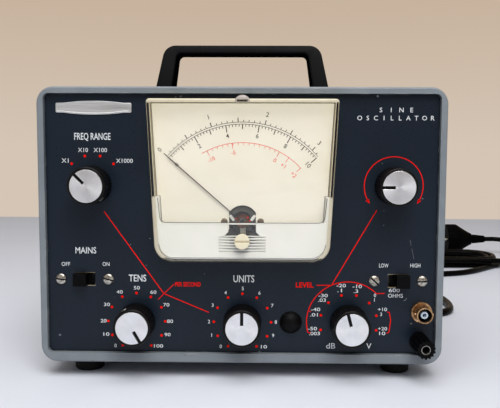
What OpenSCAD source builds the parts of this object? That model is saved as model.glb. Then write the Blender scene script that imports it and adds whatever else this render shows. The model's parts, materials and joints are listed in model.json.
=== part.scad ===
// Benchtop audio signal generator: a steel cabinet with a recessed control panel, an output meter,
// five knobs, two slide switches, output terminals, a carrying handle and a mains lead.
$fn = 64;

/* [Cabinet] */
// Width of the cabinet over its sides
case_w = 241.3; // [232:0.1:260]
// Height of the cabinet without feet and handle
case_h = 165.1; // [162:0.1:185]
// Depth from the front rim to the rear cover
case_d = 127; // [122:0.5:170]
// Outer corner radius of the cabinet
case_corner = 10; // [6:0.5:14]
// Thickness of the sheet steel
sheet = 1.2; // [0.8:0.1:1.5]
// How far the front rim stands in front of the panel
rim_proud = 3; // [2:0.1:4]
// Rounding of the rim's outer edge
rim_round = 1.2; // [1:0.1:3.2]
// Width of the rim beside the panel
rim_side = 4; // [3.3:0.1:5]
// Width of the rim above the panel
rim_top = 3.9; // [3.3:0.1:6]
// Width of the rim below the panel
rim_bottom = 5.8; // [3.3:0.1:7]
// Width of the ledge that the panel sits on
ledge = 3.5; // [2:0.1:4]
// Width of the flange that the rear cover is screwed to
rear_flange = 8; // [7:0.1:10]
// Length of a ventilation slot in the rear cover
vent_len = 52; // [30:1:70]
// Height of a ventilation slot
vent_h = 4; // [2:0.5:5]
// Spacing of the ventilation slots
vent_pitch = 9; // [7:0.5:11]

/* [Feet] */
// Diameter of a foot where it meets the cabinet
foot_d = 18.6; // [14:0.1:24]
// Height of a foot
foot_h = 9.5; // [7:0.1:14]
// Distance from the cabinet's side to a foot's axis
foot_side = 24.2; // [16:0.1:40]
// Distance from the cabinet's front or rear to a foot's axis
foot_end = 20.6; // [16:0.1:40]

/* [Handle] */
// Width over the handle's legs at the cabinet
handle_base_w = 114.8; // [100:0.1:140]
// Width over the handle's legs at the top
handle_top_w = 101.8; // [90:0.1:130]
// Width of the finger gap at the cabinet
grip_base_w = 94.4; // [80:0.1:96]
// Width of the finger gap under the bar
grip_top_w = 86.4; // [70:0.1:88]
// Height of the handle above the cabinet
handle_h = 31.6; // [26:0.1:45]
// Depth of the handle's bar from front to rear
handle_d = 20.6; // [14:0.1:30]
// Depth of the handle's legs at the cabinet
handle_base_d = 30; // [20:0.1:40]
// Thickness of the handle's bar
bar_t = 5.1; // [3:0.1:8]
// Outer corner radius of the handle
handle_round = 8.4; // [4:0.1:11]
// Inner corner radius of the handle
grip_round = 3.5; // [1:0.1:6]
// Sideways offset of the handle from the cabinet's middle
handle_shift = -1; // [-3:0.1:3]

/* [Panel] */
// Thickness of the front panel
panel_t = 1.6; // [1:0.1:2.5]
// Gap round the panel
panel_gap = 0.3; // [0.1:0.1:0.6]
// Corner radius of the panel opening
panel_corner = 3; // [1:0.1:5]
// Sideways offset of the meter and knobs from the cabinet's middle
panel_shift = 0.9; // [-2:0.1:2]
// Distance from the panel opening's side to the upper knobs' axes
upper_edge = 27.25; // [22:0.05:32]
// Distance from the panel opening's top to the upper knobs' axes
upper_drop = 54; // [45:0.1:60]
// Spacing of the three lower knobs
lower_pitch = 64; // [58:0.1:67]
// Height of the lower knobs' axes above the panel opening's bottom
lower_rise = 18.8; // [18:0.1:22]

/* [Knobs] */
// Diameter of a knob at the panel
knob_base_d = 22.8; // [20:0.1:26]
// Diameter of a knob at its front
knob_top_d = 22.1; // [19:0.1:25]
// Reach of a knob in front of the panel
knob_reach = 16.7; // [15:0.1:22]
// Gap between a knob and the panel
knob_gap = 0.8; // [0.3:0.1:1.2]
// Width of the black rim round the metal cap
cap_rim = 1.6; // [0.5:0.1:2]
// Thickness of the metal cap
cap_t = 1.2; // [0.8:0.1:2]
// How far the cap stands out of the knob
cap_proud = 0.3; // [0:0.1:0.6]
// Width of the pointer line
pointer_w = 1.9; // [1:0.1:3]
// Distance from the knob's axis to the pointer line's inner end
pointer_start = 2.1; // [1:0.1:5]
// Diameter of a control shaft
shaft_d = 6.35; // [5:0.05:6.5]
// Diameter of a set screw
set_screw_d = 3.9; // [2.5:0.1:4.5]

/* [Switches and controls] */
// Diameter of a control's threaded bushing
bush_d = 9.4; // [8.5:0.1:10]
// Reach of the bushing in front of the panel
bush_reach = 5.2; // [4:0.1:6]
// Width across the flats of a control nut
nut_af = 12.7; // [12:0.1:13.5]
// Thickness of a control nut
nut_t = 2.4; // [2:0.1:3]
// Diameter of a rotary switch wafer
wafer_d = 35; // [30:0.5:36]
// Thickness of a wafer
wafer_t = 1.6; // [1:0.1:2.5]
// Spacing of the wafers
wafer_pitch = 15; // [10:0.5:17]
// Thickness of a switch's detent housing
detent_t = 6; // [4:0.1:9]
// Diameter of the level control's case
level_d = 24; // [20:0.5:30]
// Depth of the level control's case
level_deep = 12; // [9:0.5:18]
// Spacing of a slide switch's screws
slide_pitch = 28.6; // [27:0.1:30]
// Distance from the panel opening's side to a slide switch's middle
slide_edge = 22.45; // [22:0.05:28]
// Height of the slide switches above the lower knobs' axes
slide_rise = 25.7; // [23:0.1:27]
// Width of a slide switch's window
window_w = 12.6; // [11:0.1:14]
// Height of a slide switch's window
window_h = 8.2; // [7:0.1:9]
// Width of the slider
slider_w = 7.8; // [6:0.1:8.5]
// Reach of the slider in front of the panel
slider_reach = 4.6; // [3:0.1:7]
// Diameter of the head of a panel screw
panel_head_d = 6.6; // [5:0.1:7]

/* [Meter] */
// Gap between the panel opening's top and the meter
meter_drop = 3.75; // [2:0.05:6]
// Height of the meter
meter_h = 94.4; // [92:0.1:97]
// Width of the meter at its top
meter_top_w = 110.6; // [100:0.1:116]
// Width of the meter at its bottom
meter_low_w = 101; // [92:0.1:110]
// Radius of the meter's bottom corners
meter_low_round = 11; // [7:0.1:14]
// Radius of the meter's top corners
meter_top_round = 2; // [1:0.1:4]
// Reach of the clear cover in front of the panel
meter_reach = 14; // [13:0.1:18]
// Thickness of the clear cover's side walls
cover_wall = 1.6; // [1.5:0.1:3]
// Thickness of the clear cover's front
cover_front = 2.5; // [1.5:0.1:2.8]
// Thickness of the meter case's flange
meter_flange_t = 1.5; // [1:0.1:2]
// Diameter of the meter's barrel behind the panel
barrel_d = 52; // [51:0.1:53]
// Depth of the barrel behind the panel
barrel_deep = 30; // [28:0.5:36]
// Height of the pointer's pivot above the meter's bottom
pivot_rise = 22.7; // [21.5:0.1:23.5]
// Length of the pointer from its pivot
pointer_len = 58.5; // [50:0.5:60]
// Angle of the resting pointer left of straight up
pointer_rest = 48.8; // [40:0.1:50]
// Height of the white mask's edge above the meter's bottom
mask_rise = 22.4; // [21:0.1:23]
// Height of the mask's side arms above the meter's bottom
mask_arm_rise = 38; // [30:0.5:45]
// Height of the zero adjuster above the meter's bottom
zero_rise = 12.5; // [11.5:0.1:13]
// Diameter of the zero adjuster
zero_d = 8.8; // [6:0.1:10]

/* [Terminals and pilot lamp] */
// Distance from the panel opening's side to the coaxial jack's axis
jack_edge = 8.45; // [8:0.05:12]
// Height of the coaxial jack above the lower knobs' axes
jack_rise = 7.1; // [5:0.1:9]
// Outer diameter of the coaxial jack's barrel
jack_d = 9.6; // [9:0.1:10]
// Bore of the coaxial jack's barrel
jack_bore = 8.1; // [7.5:0.1:8.5]
// Reach of the coaxial jack in front of the panel
jack_reach = 10.5; // [9:0.1:14]
// Diameter of the jack's nut
jack_nut_d = 12.5; // [11.5:0.1:13]
// Distance from the panel opening's side to the binding post's axis
post_edge = 9.15; // [9:0.05:12]
// Drop of the binding post below the lower knobs' axes
post_drop = 11.2; // [10.6:0.1:12]
// Reach of the binding post in front of the panel
post_reach = 18.2; // [17.5:0.1:24]
// Diameter of the binding post's cap
post_cap_d = 11; // [9:0.1:12]
// Diameter of the binding post's base
post_base_d = 11.6; // [10:0.1:12]
// Diameter of the binding post's stud
post_stud_d = 5.5; // [5.2:0.1:6]
// Bore of the stud for a plug
post_bore = 4.2; // [4:0.1:4.4]
// Distance of the pilot lamp right of the middle knob
pilot_right = 29.1; // [27:0.1:32]
// Diameter of the pilot lamp's lens
pilot_d = 13.6; // [11:0.1:16]
// Reach of the pilot lamp's lens in front of the panel
pilot_reach = 4.2; // [3:0.1:6]

/* [Chassis] */
// Height of the shelf above the lower knobs' axes
shelf_rise = 31; // [29:0.1:33]
// Diameter of the filter capacitor
can_d = 35; // [25:0.5:38]
// Height of the filter capacitor
can_h = 60; // [40:1:75]
// Diameter of a vacuum tube
tube_d = 19; // [16:0.5:22]
// Height of a vacuum tube
tube_h = 50; // [40:1:65]
// Width of the transformer's core
core_w = 56; // [40:1:60]
// Height of the transformer's core
core_h = 46; // [30:1:60]
// Stack of the transformer's core
core_stack = 24; // [15:1:30]

/* [Mains lead] */
// Diameter of the mains cord
cord_d = 6; // [5:0.1:6.2]
// Length of the strain relief behind the rear cover
relief_len = 24; // [20:1:40]
// Diameter of the plug's face
plug_d = 39; // [34:0.5:42]
// Length of the plug's body
plug_len = 52; // [40:1:60]
// Diameter of a plug pin
plug_pin_d = 4.8; // [4:0.1:5]
// Spacing of the plug pins
plug_pin_pitch = 19; // [17:0.1:20]
// Length of a plug pin
plug_pin_len = 19; // [15:0.5:20]

/* [Hidden] */

// How far a cutting tool runs past the face that it cuts
over = 1;
// How far one form runs into another of the same piece
lap = 0.5;
// Clearance round a piece that is fixed in a hole
fit = 0.1;
// Radial clearance of a shaft in its bearing
run = 0.05;
// Clearance between pieces that move past each other
free = 0.3;

// Panel frame: x right, y up, z towards the viewer, from the cabinet's middle on the panel's front face
rear_z = rim_proud - case_d;
shell_in_w = case_w - 2 * sheet;
shell_in_h = case_h - 2 * sheet;
shell_in_corner = case_corner - sheet;
opening_w = case_w - 2 * rim_side;
opening_h = case_h - rim_top - rim_bottom;
opening_y = (rim_bottom - rim_top) / 2;
opening_top = case_h / 2 - rim_top;
opening_bottom = rim_bottom - case_h / 2;

// Panel layout
upper_x = opening_w / 2 - upper_edge;
upper_y = opening_top - upper_drop;
lower_y = opening_bottom + lower_rise;
multiplier_at = [panel_shift - upper_x, upper_y];
level_at = [panel_shift + upper_x, upper_y];
tens_at = [panel_shift - lower_pitch, lower_y];
units_at = [panel_shift, lower_y];
attenuator_at = [panel_shift + lower_pitch, lower_y];
lower_knobs_at = [tens_at, units_at, attenuator_at];
knobs_at = concat([multiplier_at, level_at], lower_knobs_at);
slide_y = lower_y + slide_rise;
slide_x = opening_w / 2 - slide_edge;
power_at = [-slide_x, slide_y];
load_at = [slide_x, slide_y];
jack_at = [opening_w / 2 - jack_edge, lower_y + jack_rise];
post_at = [opening_w / 2 - post_edge, lower_y - post_drop];
pilot_at = [panel_shift + pilot_right, lower_y];

// Knob angles at rest, clockwise from straight up
multiplier_angle = -45;
tens_angle = 150;
units_angle = 0;
attenuator_angle = -15;
level_angle = -90;

// Part frame: origin on the table under the middle of the object
screw_d = 3.4;
screw_head_d = 6.4;
screw_head_h = 2;
screw_len = 9;
slot_w = 0.9;
panel_y = (max(post_reach, knob_reach + cap_proud) + rear_z - screw_head_h) / 2;
case_mid_z = foot_h + case_h / 2;
case_top_z = foot_h + case_h;
front_y = panel_y - rim_proud;
rear_y = panel_y - rear_z;
feet_at = [
  for (sx = [-1, 1], y = [front_y + foot_end, rear_y - foot_end])
    [sx * (case_w / 2 - foot_side), y]
];
foot_recess_d = screw_head_d + 2;
foot_recess = 5;
handle_y = (front_y + rear_y) / 2;
handle_screw_x = (handle_base_w + grip_base_w) / 4;

// Meter outline and depths
meter_top = opening_top - meter_drop;
meter_bottom = meter_top - meter_h;
pivot_at = [panel_shift, meter_bottom + pivot_rise];
zero_at = [panel_shift, meter_bottom + zero_rise];
barrel_at = [panel_shift, meter_bottom + barrel_d / 2 + 1.5];
barrel_wall = 2;
barrel_floor_z = barrel_wall - barrel_deep;
stud_d = 3.5;
stud_len = 9;
stud_nut_af = 8;
stud_nut_t = 3;
nut_clear = 0.6;
stud_top_x = 44;
stud_top_drop = 13;
stud_low_x = 38;
stud_low_rise = 11.5;
studs_at = [
  for (sx = [-1, 1]) [panel_shift + sx * stud_top_x, meter_top - stud_top_drop],
  for (sx = [-1, 1]) [panel_shift + sx * stud_low_x, meter_bottom + stud_low_rise]
];
plate_z = meter_flange_t + 1.7;
plate_t = 0.8;
plate_front_z = plate_z + plate_t;
plate_bottom = pivot_at.y - 4.5;
arch_w = 16;
arch_r = 9.4;
arch_top = pivot_at.y + 10;
plate_screw_x = 10.8;
plate_screw_y = pivot_at.y + 0.3;
plate_screw_d = 1.6;
plate_screw_len = 4;
plate_head_d = 4;
plate_head_h = 1;
cover_inside_z = meter_reach - cover_front;
mask_inset = cover_wall + 0.3;
mask_t = 1.5;
mask_front_z = cover_inside_z - 0.3;
mask_top = meter_bottom + mask_rise;
mask_arm_top = meter_bottom + mask_arm_rise;
mask_round = 3.2;
notch_top_w = 16;
notch_low_w = 20.6;
notch_h = 7;
rib_w = 0.6;
rib_deep = 0.6;
rib_pitch = 1.7;
rib_len = 27;
rib_count = 6;
tab_d = 8.6;
tab_proud = 0.8;

// Rear cover and chassis
rear_cover_w = shell_in_w - 2 * panel_gap;
rear_cover_h = shell_in_h - 2 * panel_gap;
rear_open_w = shell_in_w - 2 * rear_flange;
rear_open_h = shell_in_h - 2 * rear_flange;
cover_screw_x = shell_in_w / 2 - rear_flange / 2;
cover_screw_y = shell_in_h / 2 - rear_flange / 2;
cover_screw_rise = 50;
cover_screws = [
  for (sx = [-1, 1], sy = [-1, 1]) [sx * cover_screw_x, sy * cover_screw_rise],
  for (sy = [-1, 1]) [0, sy * cover_screw_y]
];
stud_nuts_low = meter_bottom + stud_low_rise - stud_nut_af / 2 / cos(30);
shelf_y = min(lower_y + shelf_rise, stud_nuts_low - nut_clear);
chassis_drop = 22;
chassis_screw_x = 80;
chassis_screws_at = [for (sx = [-1, 1]) [sx * chassis_screw_x, shelf_y - chassis_drop / 2]];
vent_rows = 7;
vent_top = 60;
vent_x = 48;
relief_x = 40;
relief_rise = 15;
relief_at = [relief_x, opening_bottom + relief_rise];
relief_neck_d = 11;
neck_w = 80;
band_side = 10;
band_w = 2 * (lower_pitch + band_side);
band_h = 28;
step_reach = 24;
step_z = -panel_t - step_reach;
shelf_side = 2;
shelf_w = shell_in_w - 2 * (rear_flange + shelf_side);
transformer_x = -71;
transformer_back = 44;
transformer_at = [transformer_x, rear_z + transformer_back];
winding_reach = 22;
strap_t = 2;
strap_reach = 8;
can_x = -9;
can_back = 34;
can_at = [can_x, rear_z + can_back];
can_plate_t = 1.6;
can_plate_d = can_d + 4;
tube_x = 28;
tube_pitch = 30;
tube_back = 38;
tube_places = [for (k = [0 : 2]) [tube_x + k * tube_pitch, rear_z + tube_back]];
socket_d = 16;
socket_rim_d = 22;
socket_rim_t = 1.8;
socket_deep = 8;
tube_pins = 7;
pin_circle_r = 4.8;
pin_d = 1;
pin_len = 3;
lamp_back = 72;
lamp_at = [tube_x + 2 * tube_pitch, rear_z + lamp_back];
lamp_base_d = 16;
lamp_base_h = 14;
lamp_bulb_d = 18;
strip_back = 20;
strip_pitch = 30;
strip_z = [rear_z + strip_back, rear_z + strip_back + strip_pitch];
strip_len = 92;
strip_h = 9;
strip_t = 1.6;
strip_gap = socket_deep + 4;
wire_d = 0.9;
component_pitch = 11;
capacitor_d = 9;
capacitor_len = 20;
resistor_d = 5;
resistor_len = 12;

// Meter movement
magnet_w = 30;
magnet_h = 24;
magnet_front_z = -4;
magnet_back_t = 2;
gap_d = 16.8;
core_d = 11.2;
coil_in = 12.6;
coil_wire = 1.3;
coil_wide = 3.2;
coil_front_z = magnet_front_z - 1;
coil_back_z = barrel_floor_z + magnet_back_t + 2;
core_end = 1.2;
web_end = 2;
staff_d = 1.2;
jewel_d = 1;
bridge_t = 1;
boss_d = 2.3;
boss_h = 1.4;
lever_t = 0.8;
lever_w = 3.6;
lever_eye_d = 5.2;
lever_z = magnet_front_z + bridge_t + 0.4;
zero_offset = 1.2;
zero_pin_d = 1.2;
zero_shank_d = 5;
zero_head_t = 1.7;
zero_slot_w = 1.2;
needle_w = 0.55;
needle_t = 0.4;
needle_z = plate_front_z + 0.9;
hub_d = 3.2;
hub_t = 1.2;
tail_len = pivot_at.y - zero_at.y - (zero_shank_d + hub_d) / 2 - 2 * free;

// Control details
shaft_tip_z = knob_reach - cap_t + cap_proud - 2.4;
cap_d = knob_top_d - 2 * cap_rim;
cap_back_z = knob_reach + cap_proud - cap_t;
nut_corner_d = nut_af / cos(30);
knob_well_d = nut_corner_d + 2 * free;
knob_well_z = max(bush_reach, nut_t) + free;
set_screw_z = (knob_well_z + cap_back_z) / 2;
set_screw_len = 5;
strut_d = 3;
strut_pitch = wafer_d - 2 * strut_d;
wafer_count = 2;
switch_seat_z = -panel_t - sheet;
strut_tail = 2;
switch_back = detent_t + wafer_count * wafer_pitch + strut_tail;
lower_shaft_back = switch_seat_z - switch_back;
upper_shaft_back = -panel_t - switch_back;
level_floor = 2;
lug_pitch = 5;
lug_w = 3;
lug_len = 4;
lug_t = 1;
lug_back = 5;
level_shaft_back = -panel_t - level_deep + level_floor;
slide_travel = window_w - slider_w - 2 * fit;
slider_h = window_h - 2 * free;
slider_base_w = slider_w + 5;
slider_base_h = window_h + 1;
slider_base_t = 2;
slide_wall = 1.2;
slide_ear_h = window_h + 4.6;
slide_ear_w = slide_pitch + 6;
slide_box_w = slider_base_w + slide_travel + 2 * free + 2 * slide_wall;
slide_deep = 8;
panel_screw_d = 2.8;
panel_screw_len = 6;
panel_head_h = 1.7;
jack_insert_d = 4.8;
jack_contact_d = 1.4;
jack_contact_deep = 6;
jack_face_z = jack_reach - 1.5;
jack_floor_z = 0.5;
jack_deep = 14;
jack_body_d = 13;
jack_body_t = 4;
jack_nut_t = 2.6;
jack_lug_d = 2;
jack_lug_drop = 3.4;
jack_lug_reach = 0.8;
post_base_t = 3.2;
post_neck_d = 8;
post_washer_t = 2;
post_nut_t = 2.6;
post_nut_af = 8.5;
post_tail = 12;
post_flutes = 14;
post_flute_d = 1.6;
pilot_body_d = 10.4;
pilot_deep = 10;
pilot_lamp_d = 6;
pilot_lamp_len = 14;

// Mains lead: points on the table behind the cabinet, chosen along the loose curves of the cord
lead_z = case_mid_z + relief_at.y;
cord_z = cord_d / 2;
lead_start = [relief_at.x, rear_y + relief_len, lead_z];
lead_points = [
  [42, 118, 27.5], [48.5, 127.5, 23], [60, 132, 16.5], [75, 130.5, 10.5], [91, 124.5, 6], [107, 116.5, 3.5],
  [122, 108, 3], [137, 101, 3], [151, 97.5, 3], [163, 100, 3], [171.5, 109, 3], [176, 123, 3],
  [177.5, 141, 3], [176, 160, 3], [172, 179, 3], [167, 198, 3], [162, 217, 3], [160, 236, 3],
  [164.5, 252.5, 3], [176.5, 264.5, 3], [193.5, 271, 3], [213, 275.5, 3], [232, 282, 3], [249, 293.5, 3],
  [263.5, 307.5, 3], [277.7, 322.4, 3]
];
loop_middle = [238, 362];
loop_run = 51.2;
loop_round = 40;
loop_step = 8;
loop_lift = 6.5;
loop_in = 2;
loop_reverse = 0.5;
loop_end = 4;
loop_rings = 24;
loop_sides = 6;
loop_mean = loop_round - loop_step * loop_in / 2;
run_share = loop_run / (2 * loop_run + 2 * PI * loop_mean);
// The lead joins the coil half way round its first quarter bend
loop_start = run_share + (0.5 - run_share) / 4;
loop_way = [cos(45), sin(45), 0];
tail_points = [
  [291, 325.9, 9.1], [303.5, 330.5, 7.2], [315, 337.5, 5], [326, 349, 3], [334, 364, 3], [339, 380, 4],
  [342, 396, 7], [342, 410.5, 11], [339.5, 423, 15], [335, 432.5, 18], [329, 437.8, 19.2]
];
tube_sides = 10;
path_steps = 2;
plug_at = [310, 440, plug_d / 2];
plug_rim_len = 14;
plug_sleeve_len = 18;
plug_waist_d = 15;
plug_sleeve_d = 12;
plug_end_d = 8.5;
plug_pin_root = 6;

// Shapes that repeat

function unit(v) = v / norm(v);

function polar(r, a) = r * [cos(a), sin(a)];

// The arc that rounds corner b of the path a, b, c
function eased_corner(a, b, c, r, steps) =
  r <= 0 ? [b] :
  let (
    u = unit(a - b),
    v = unit(c - b),
    half = acos(u * v) / 2,
    middle = b + unit(u + v) * r / sin(half),
    p = b + u * r / tan(half) - middle,
    q = b + v * r / tan(half) - middle,
    start = atan2(p.y, p.x),
    sweep = atan2(q.y, q.x) - start,
    turn = sweep > 180 ? sweep - 360 : sweep < -180 ? sweep + 360 : sweep
  )
  [for (i = [0 : steps]) middle + polar(r, start + turn * i / steps)];

// A polygon with each corner rounded to its own radius
function eased(points, radii, steps = 8) =
  let (n = len(points))
  [for (i = [0 : n - 1])
    each eased_corner(points[(i + n - 1) % n], points[i], points[(i + 1) % n], radii[i], steps)];

module panel_frame() {
  translate([0, panel_y, case_mid_z]) rotate([90, 0, 0]) children();
}

module at_panel(place, z = 0) {
  panel_frame() translate([place.x, place.y, z]) children();
}

module rounded_rect(w, h, r) {
  square([w - 2 * r, h], center = true);
  square([w, h - 2 * r], center = true);
  for (sx = [-1, 1], sy = [-1, 1]) translate([sx * (w / 2 - r), sy * (h / 2 - r)]) circle(r);
}

module slab(w, h, r, z0, z1) {
  translate([0, 0, z0]) linear_extrude(z1 - z0) rounded_rect(w, h, r);
}

module rod(d, z0, z1) {
  translate([0, 0, z0]) cylinder(h = z1 - z0, d = d);
}

module tube(d_out, d_in, z0, z1) {
  difference() {
    rod(d_out, z0, z1);
    rod(d_in, z0 - over, z1 + over);
  }
}

module hex(af, z0, z1) {
  translate([0, 0, z0]) cylinder(h = z1 - z0, d = af / cos(30), $fn = 6);
}

// A quarter of a disc that runs a little past its middle, into the block that it rounds
module quarter_disc(r) {
  intersection() {
    circle(r);
    translate([-lap, -lap]) square(r + lap);
  }
}

// A rounded edge that runs round a rounded rectangle
module edge_ring(w, h, r, e) {
  for (k = [0 : 3]) rotate(90 * k) {
    across = k % 2 == 0 ? w : h;
    along = k % 2 == 0 ? h : w;
    translate([across / 2 - e, along / 2 - r, 0]) rotate([90, 0, 0])
      linear_extrude(along - 2 * r) quarter_disc(e);
    translate([across / 2 - r, along / 2 - r, 0])
      rotate_extrude(angle = 90) translate([r - e, 0]) quarter_disc(e);
  }
}

// A slotted screw whose head sits on z = 0 and whose shank points down
module slotted_screw(d, head_d, head_h, len) {
  difference() {
    union() {
      rod(d, -len, 0);
      rod(head_d, 0, head_h * 0.5);
      translate([0, 0, head_h * 0.5]) cylinder(h = head_h * 0.5, d1 = head_d, d2 = head_d * 0.7);
    }
    translate([-head_d, -slot_w / 2, head_h * 0.5]) cube([2 * head_d, slot_w, head_h]);
  }
}

module case_screw() {
  slotted_screw(screw_d, screw_head_d, screw_head_h, screw_len);
}

// Cabinet

module cabinet_block() {
  slab(case_w, case_h, case_corner, rear_z, rim_proud - rim_round);
  slab(case_w - 2 * rim_round, case_h - 2 * rim_round, case_corner - rim_round, rear_z, rim_proud);
  translate([0, 0, rim_proud - rim_round]) edge_ring(case_w, case_h, case_corner, rim_round);
}

module cabinet_shell() {
  color("#838a90") difference() {
    panel_frame() difference() {
      cabinet_block();
      translate([0, opening_y, 0]) slab(opening_w, opening_h, panel_corner, -panel_t, rim_proud + over);
      translate([0, opening_y, 0])
        slab(opening_w - 2 * ledge, opening_h - 2 * ledge, panel_corner, -panel_t - sheet - over, 0);
      slab(shell_in_w, shell_in_h, shell_in_corner, rear_z + 2 * sheet, -panel_t - sheet);
      slab(rear_open_w, rear_open_h, shell_in_corner, rear_z, rear_z + 3 * sheet);
      slab(shell_in_w, shell_in_h, shell_in_corner, rear_z - over, rear_z + sheet);
      for (p = cover_screws) translate(p) rod(screw_d + 2 * fit, rear_z, rear_z + 3 * sheet);
      translate(jack_at) rod(jack_body_d + 2 * free, -panel_t - sheet - over, -panel_t);
      translate(post_at) rod(post_base_d + 2 * free, -panel_t - sheet - over, -panel_t);
    }
    for (p = feet_at) translate(p) rod(screw_d + 2 * fit, foot_h - over, foot_h + sheet + over);
    for (sx = [-1, 1]) translate([handle_shift + sx * handle_screw_x, handle_y])
      rod(screw_d + 2 * fit, case_top_z - sheet - over, case_top_z + over);
  }
}

module vent_slot() {
  square([vent_len - vent_h, vent_h], center = true);
  for (s = [-1, 1]) translate([s * (vent_len - vent_h) / 2, 0]) circle(d = vent_h);
}

module rear_cover() {
  color("#7b8288") panel_frame() difference() {
    slab(rear_cover_w, rear_cover_h, shell_in_corner - panel_gap, rear_z, rear_z + sheet);
    for (p = concat(cover_screws, chassis_screws_at))
      translate(p) rod(screw_d + 2 * fit, rear_z - over, rear_z + sheet + over);
    translate(relief_at) rod(relief_neck_d + 2 * fit, rear_z - over, rear_z + sheet + over);
    for (s = [-1, 1], k = [0 : vent_rows - 1])
      translate([s * vent_x, vent_top - k * vent_pitch, rear_z - over])
        linear_extrude(sheet + 2 * over) vent_slot();
  }
}

module case_screws() {
  color("#b9bcbd") {
    for (p = concat(cover_screws, chassis_screws_at)) at_panel(p, rear_z) rotate([180, 0, 0]) case_screw();
    for (p = feet_at) translate([p.x, p.y, foot_recess]) rotate([180, 0, 0]) case_screw();
    for (sx = [-1, 1]) translate([handle_shift + sx * handle_screw_x, handle_y, case_top_z - sheet])
      rotate([180, 0, 0]) case_screw();
  }
}

module rubber_feet() {
  edge = 0.8;
  taper = 0.4;
  r = foot_d / 2;
  color("#161616") for (p = feet_at) translate(p) difference() {
    union() {
      translate([0, 0, edge]) cylinder(h = foot_h - edge, r1 = r - taper, r2 = r);
      cylinder(h = edge, r1 = r - taper - edge, r2 = r - taper);
    }
    rod(foot_recess_d, -over, foot_recess);
    rod(screw_d + 2 * fit, 0, foot_h + over);
  }
}

module carry_handle() {
  outline = [
    [-handle_base_w / 2, 0], [-handle_top_w / 2, handle_h],
    [handle_top_w / 2, handle_h], [handle_base_w / 2, 0],
    [grip_base_w / 2, 0], [grip_top_w / 2, handle_h - bar_t],
    [-grip_top_w / 2, handle_h - bar_t], [-grip_base_w / 2, 0]
  ];
  radii = [0, handle_round, handle_round, 0, 0, grip_round, grip_round, 0];
  side = [
    [-handle_base_d / 2, 0], [-handle_d / 2, handle_h],
    [handle_d / 2, handle_h], [handle_base_d / 2, 0]
  ];
  color("#1b1c1e") translate([handle_shift, handle_y, case_top_z]) difference() {
    intersection() {
      rotate([90, 0, 0]) translate([0, 0, -handle_base_d / 2]) linear_extrude(handle_base_d)
        polygon(eased(outline, radii));
      rotate([90, 0, 90]) translate([0, 0, -handle_base_w / 2 - over])
        linear_extrude(handle_base_w + 2 * over) polygon(side);
    }
    for (sx = [-1, 1]) translate([sx * handle_screw_x, 0]) rod(screw_d + 2 * fit, -over, screw_len);
  }
}

module bushing_hole(z0, z1) {
  rod(bush_d + 2 * fit, z0, z1);
}

module front_panel() {
  z0 = -panel_t - over;
  color("#252b34") panel_frame() difference() {
    translate([0, opening_y])
      slab(opening_w - 2 * panel_gap, opening_h - 2 * panel_gap, panel_corner - panel_gap, -panel_t, 0);
    for (p = knobs_at) translate(p) bushing_hole(z0, over);
    for (p = [power_at, load_at]) translate(p) {
      translate([-window_w / 2, -window_h / 2, z0]) cube([window_w, window_h, panel_t + 2 * over]);
      for (s = [-1, 1]) translate([s * slide_pitch / 2, 0]) rod(panel_screw_d + 2 * fit, z0, over);
    }
    translate(barrel_at) rod(barrel_d + 2 * fit, z0, over);
    for (p = studs_at) translate(p) rod(stud_d + 2 * fit, z0, over);
    translate(jack_at) rod(jack_d + 2 * fit, z0, over);
    translate(post_at) rod(post_neck_d + 2 * fit, z0, over);
    translate(pilot_at) rod(pilot_body_d + 2 * fit, z0, over);
  }
}

// Chassis and what stands on it

module chassis_sheet() {
  translate([panel_shift - band_w / 2, lower_y - band_h / 2, -panel_t - sheet])
    cube([band_w, band_h, sheet]);
  translate([panel_shift - neck_w / 2, lower_y, -panel_t - sheet]) cube([neck_w, shelf_y - lower_y, sheet]);
  translate([panel_shift - neck_w / 2, shelf_y - sheet, step_z - lap])
    cube([neck_w, sheet, lap - panel_t - step_z]);
  translate([-shelf_w / 2, shelf_y - sheet, rear_z + sheet])
    cube([shelf_w, sheet, step_z - rear_z - sheet]);
  translate([-shelf_w / 2, shelf_y - chassis_drop, rear_z + sheet])
    cube([shelf_w, chassis_drop, sheet]);
}

// Turns a shape that stands on z = 0 so that it stands on the shelf
module on_shelf(place, y = 0) {
  panel_frame() translate([place.x, shelf_y + y, place.y]) rotate([-90, 0, 0]) children();
}

transformer_bolts = [for (s = [-1, 1]) transformer_at + [s * (core_w / 2 + strap_reach / 2), 0]];

module chassis() {
  color("#b8b6ad") difference() {
    panel_frame() difference() {
      chassis_sheet();
      for (p = lower_knobs_at) translate(p) bushing_hole(switch_seat_z - over, 0);
      translate(pilot_at) rod(pilot_body_d + 2 * fit, switch_seat_z - over, 0);
      for (p = chassis_screws_at) translate(p) rod(screw_d + 2 * fit, rear_z, rear_z + 3 * sheet);
    }
    for (p = tube_places) on_shelf(p) rod(socket_d + 2 * fit, -sheet - over, over);
    for (p = transformer_bolts) on_shelf(p) rod(panel_screw_d + 2 * fit, -sheet - over, over);
  }
}

module chassis_screws() {
  color("#b9bcbd") for (p = transformer_bolts)
    on_shelf(p, strap_t) slotted_screw(panel_screw_d, panel_head_d, panel_head_h, panel_screw_len);
}

module power_transformer() {
  winding_h = core_h * 0.62;
  winding_w = core_w * 0.6;
  winding_deep = core_stack + winding_reach;
  winding_corner = 6;
  color("#4a4237") on_shelf(transformer_at) difference() {
    union() {
      translate([-core_w / 2, -core_stack / 2, 0]) cube([core_w, core_stack, core_h]);
      slab(winding_w, winding_deep, winding_corner, (core_h - winding_h) / 2, (core_h + winding_h) / 2);
      translate([-core_w / 2 - strap_reach, -core_stack / 2, 0])
        cube([core_w + 2 * strap_reach, core_stack, strap_t]);
    }
    for (s = [-1, 1]) translate([s * (core_w / 2 + strap_reach / 2), 0])
      rod(panel_screw_d + 2 * fit, -over, strap_t + over);
  }
}

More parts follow.
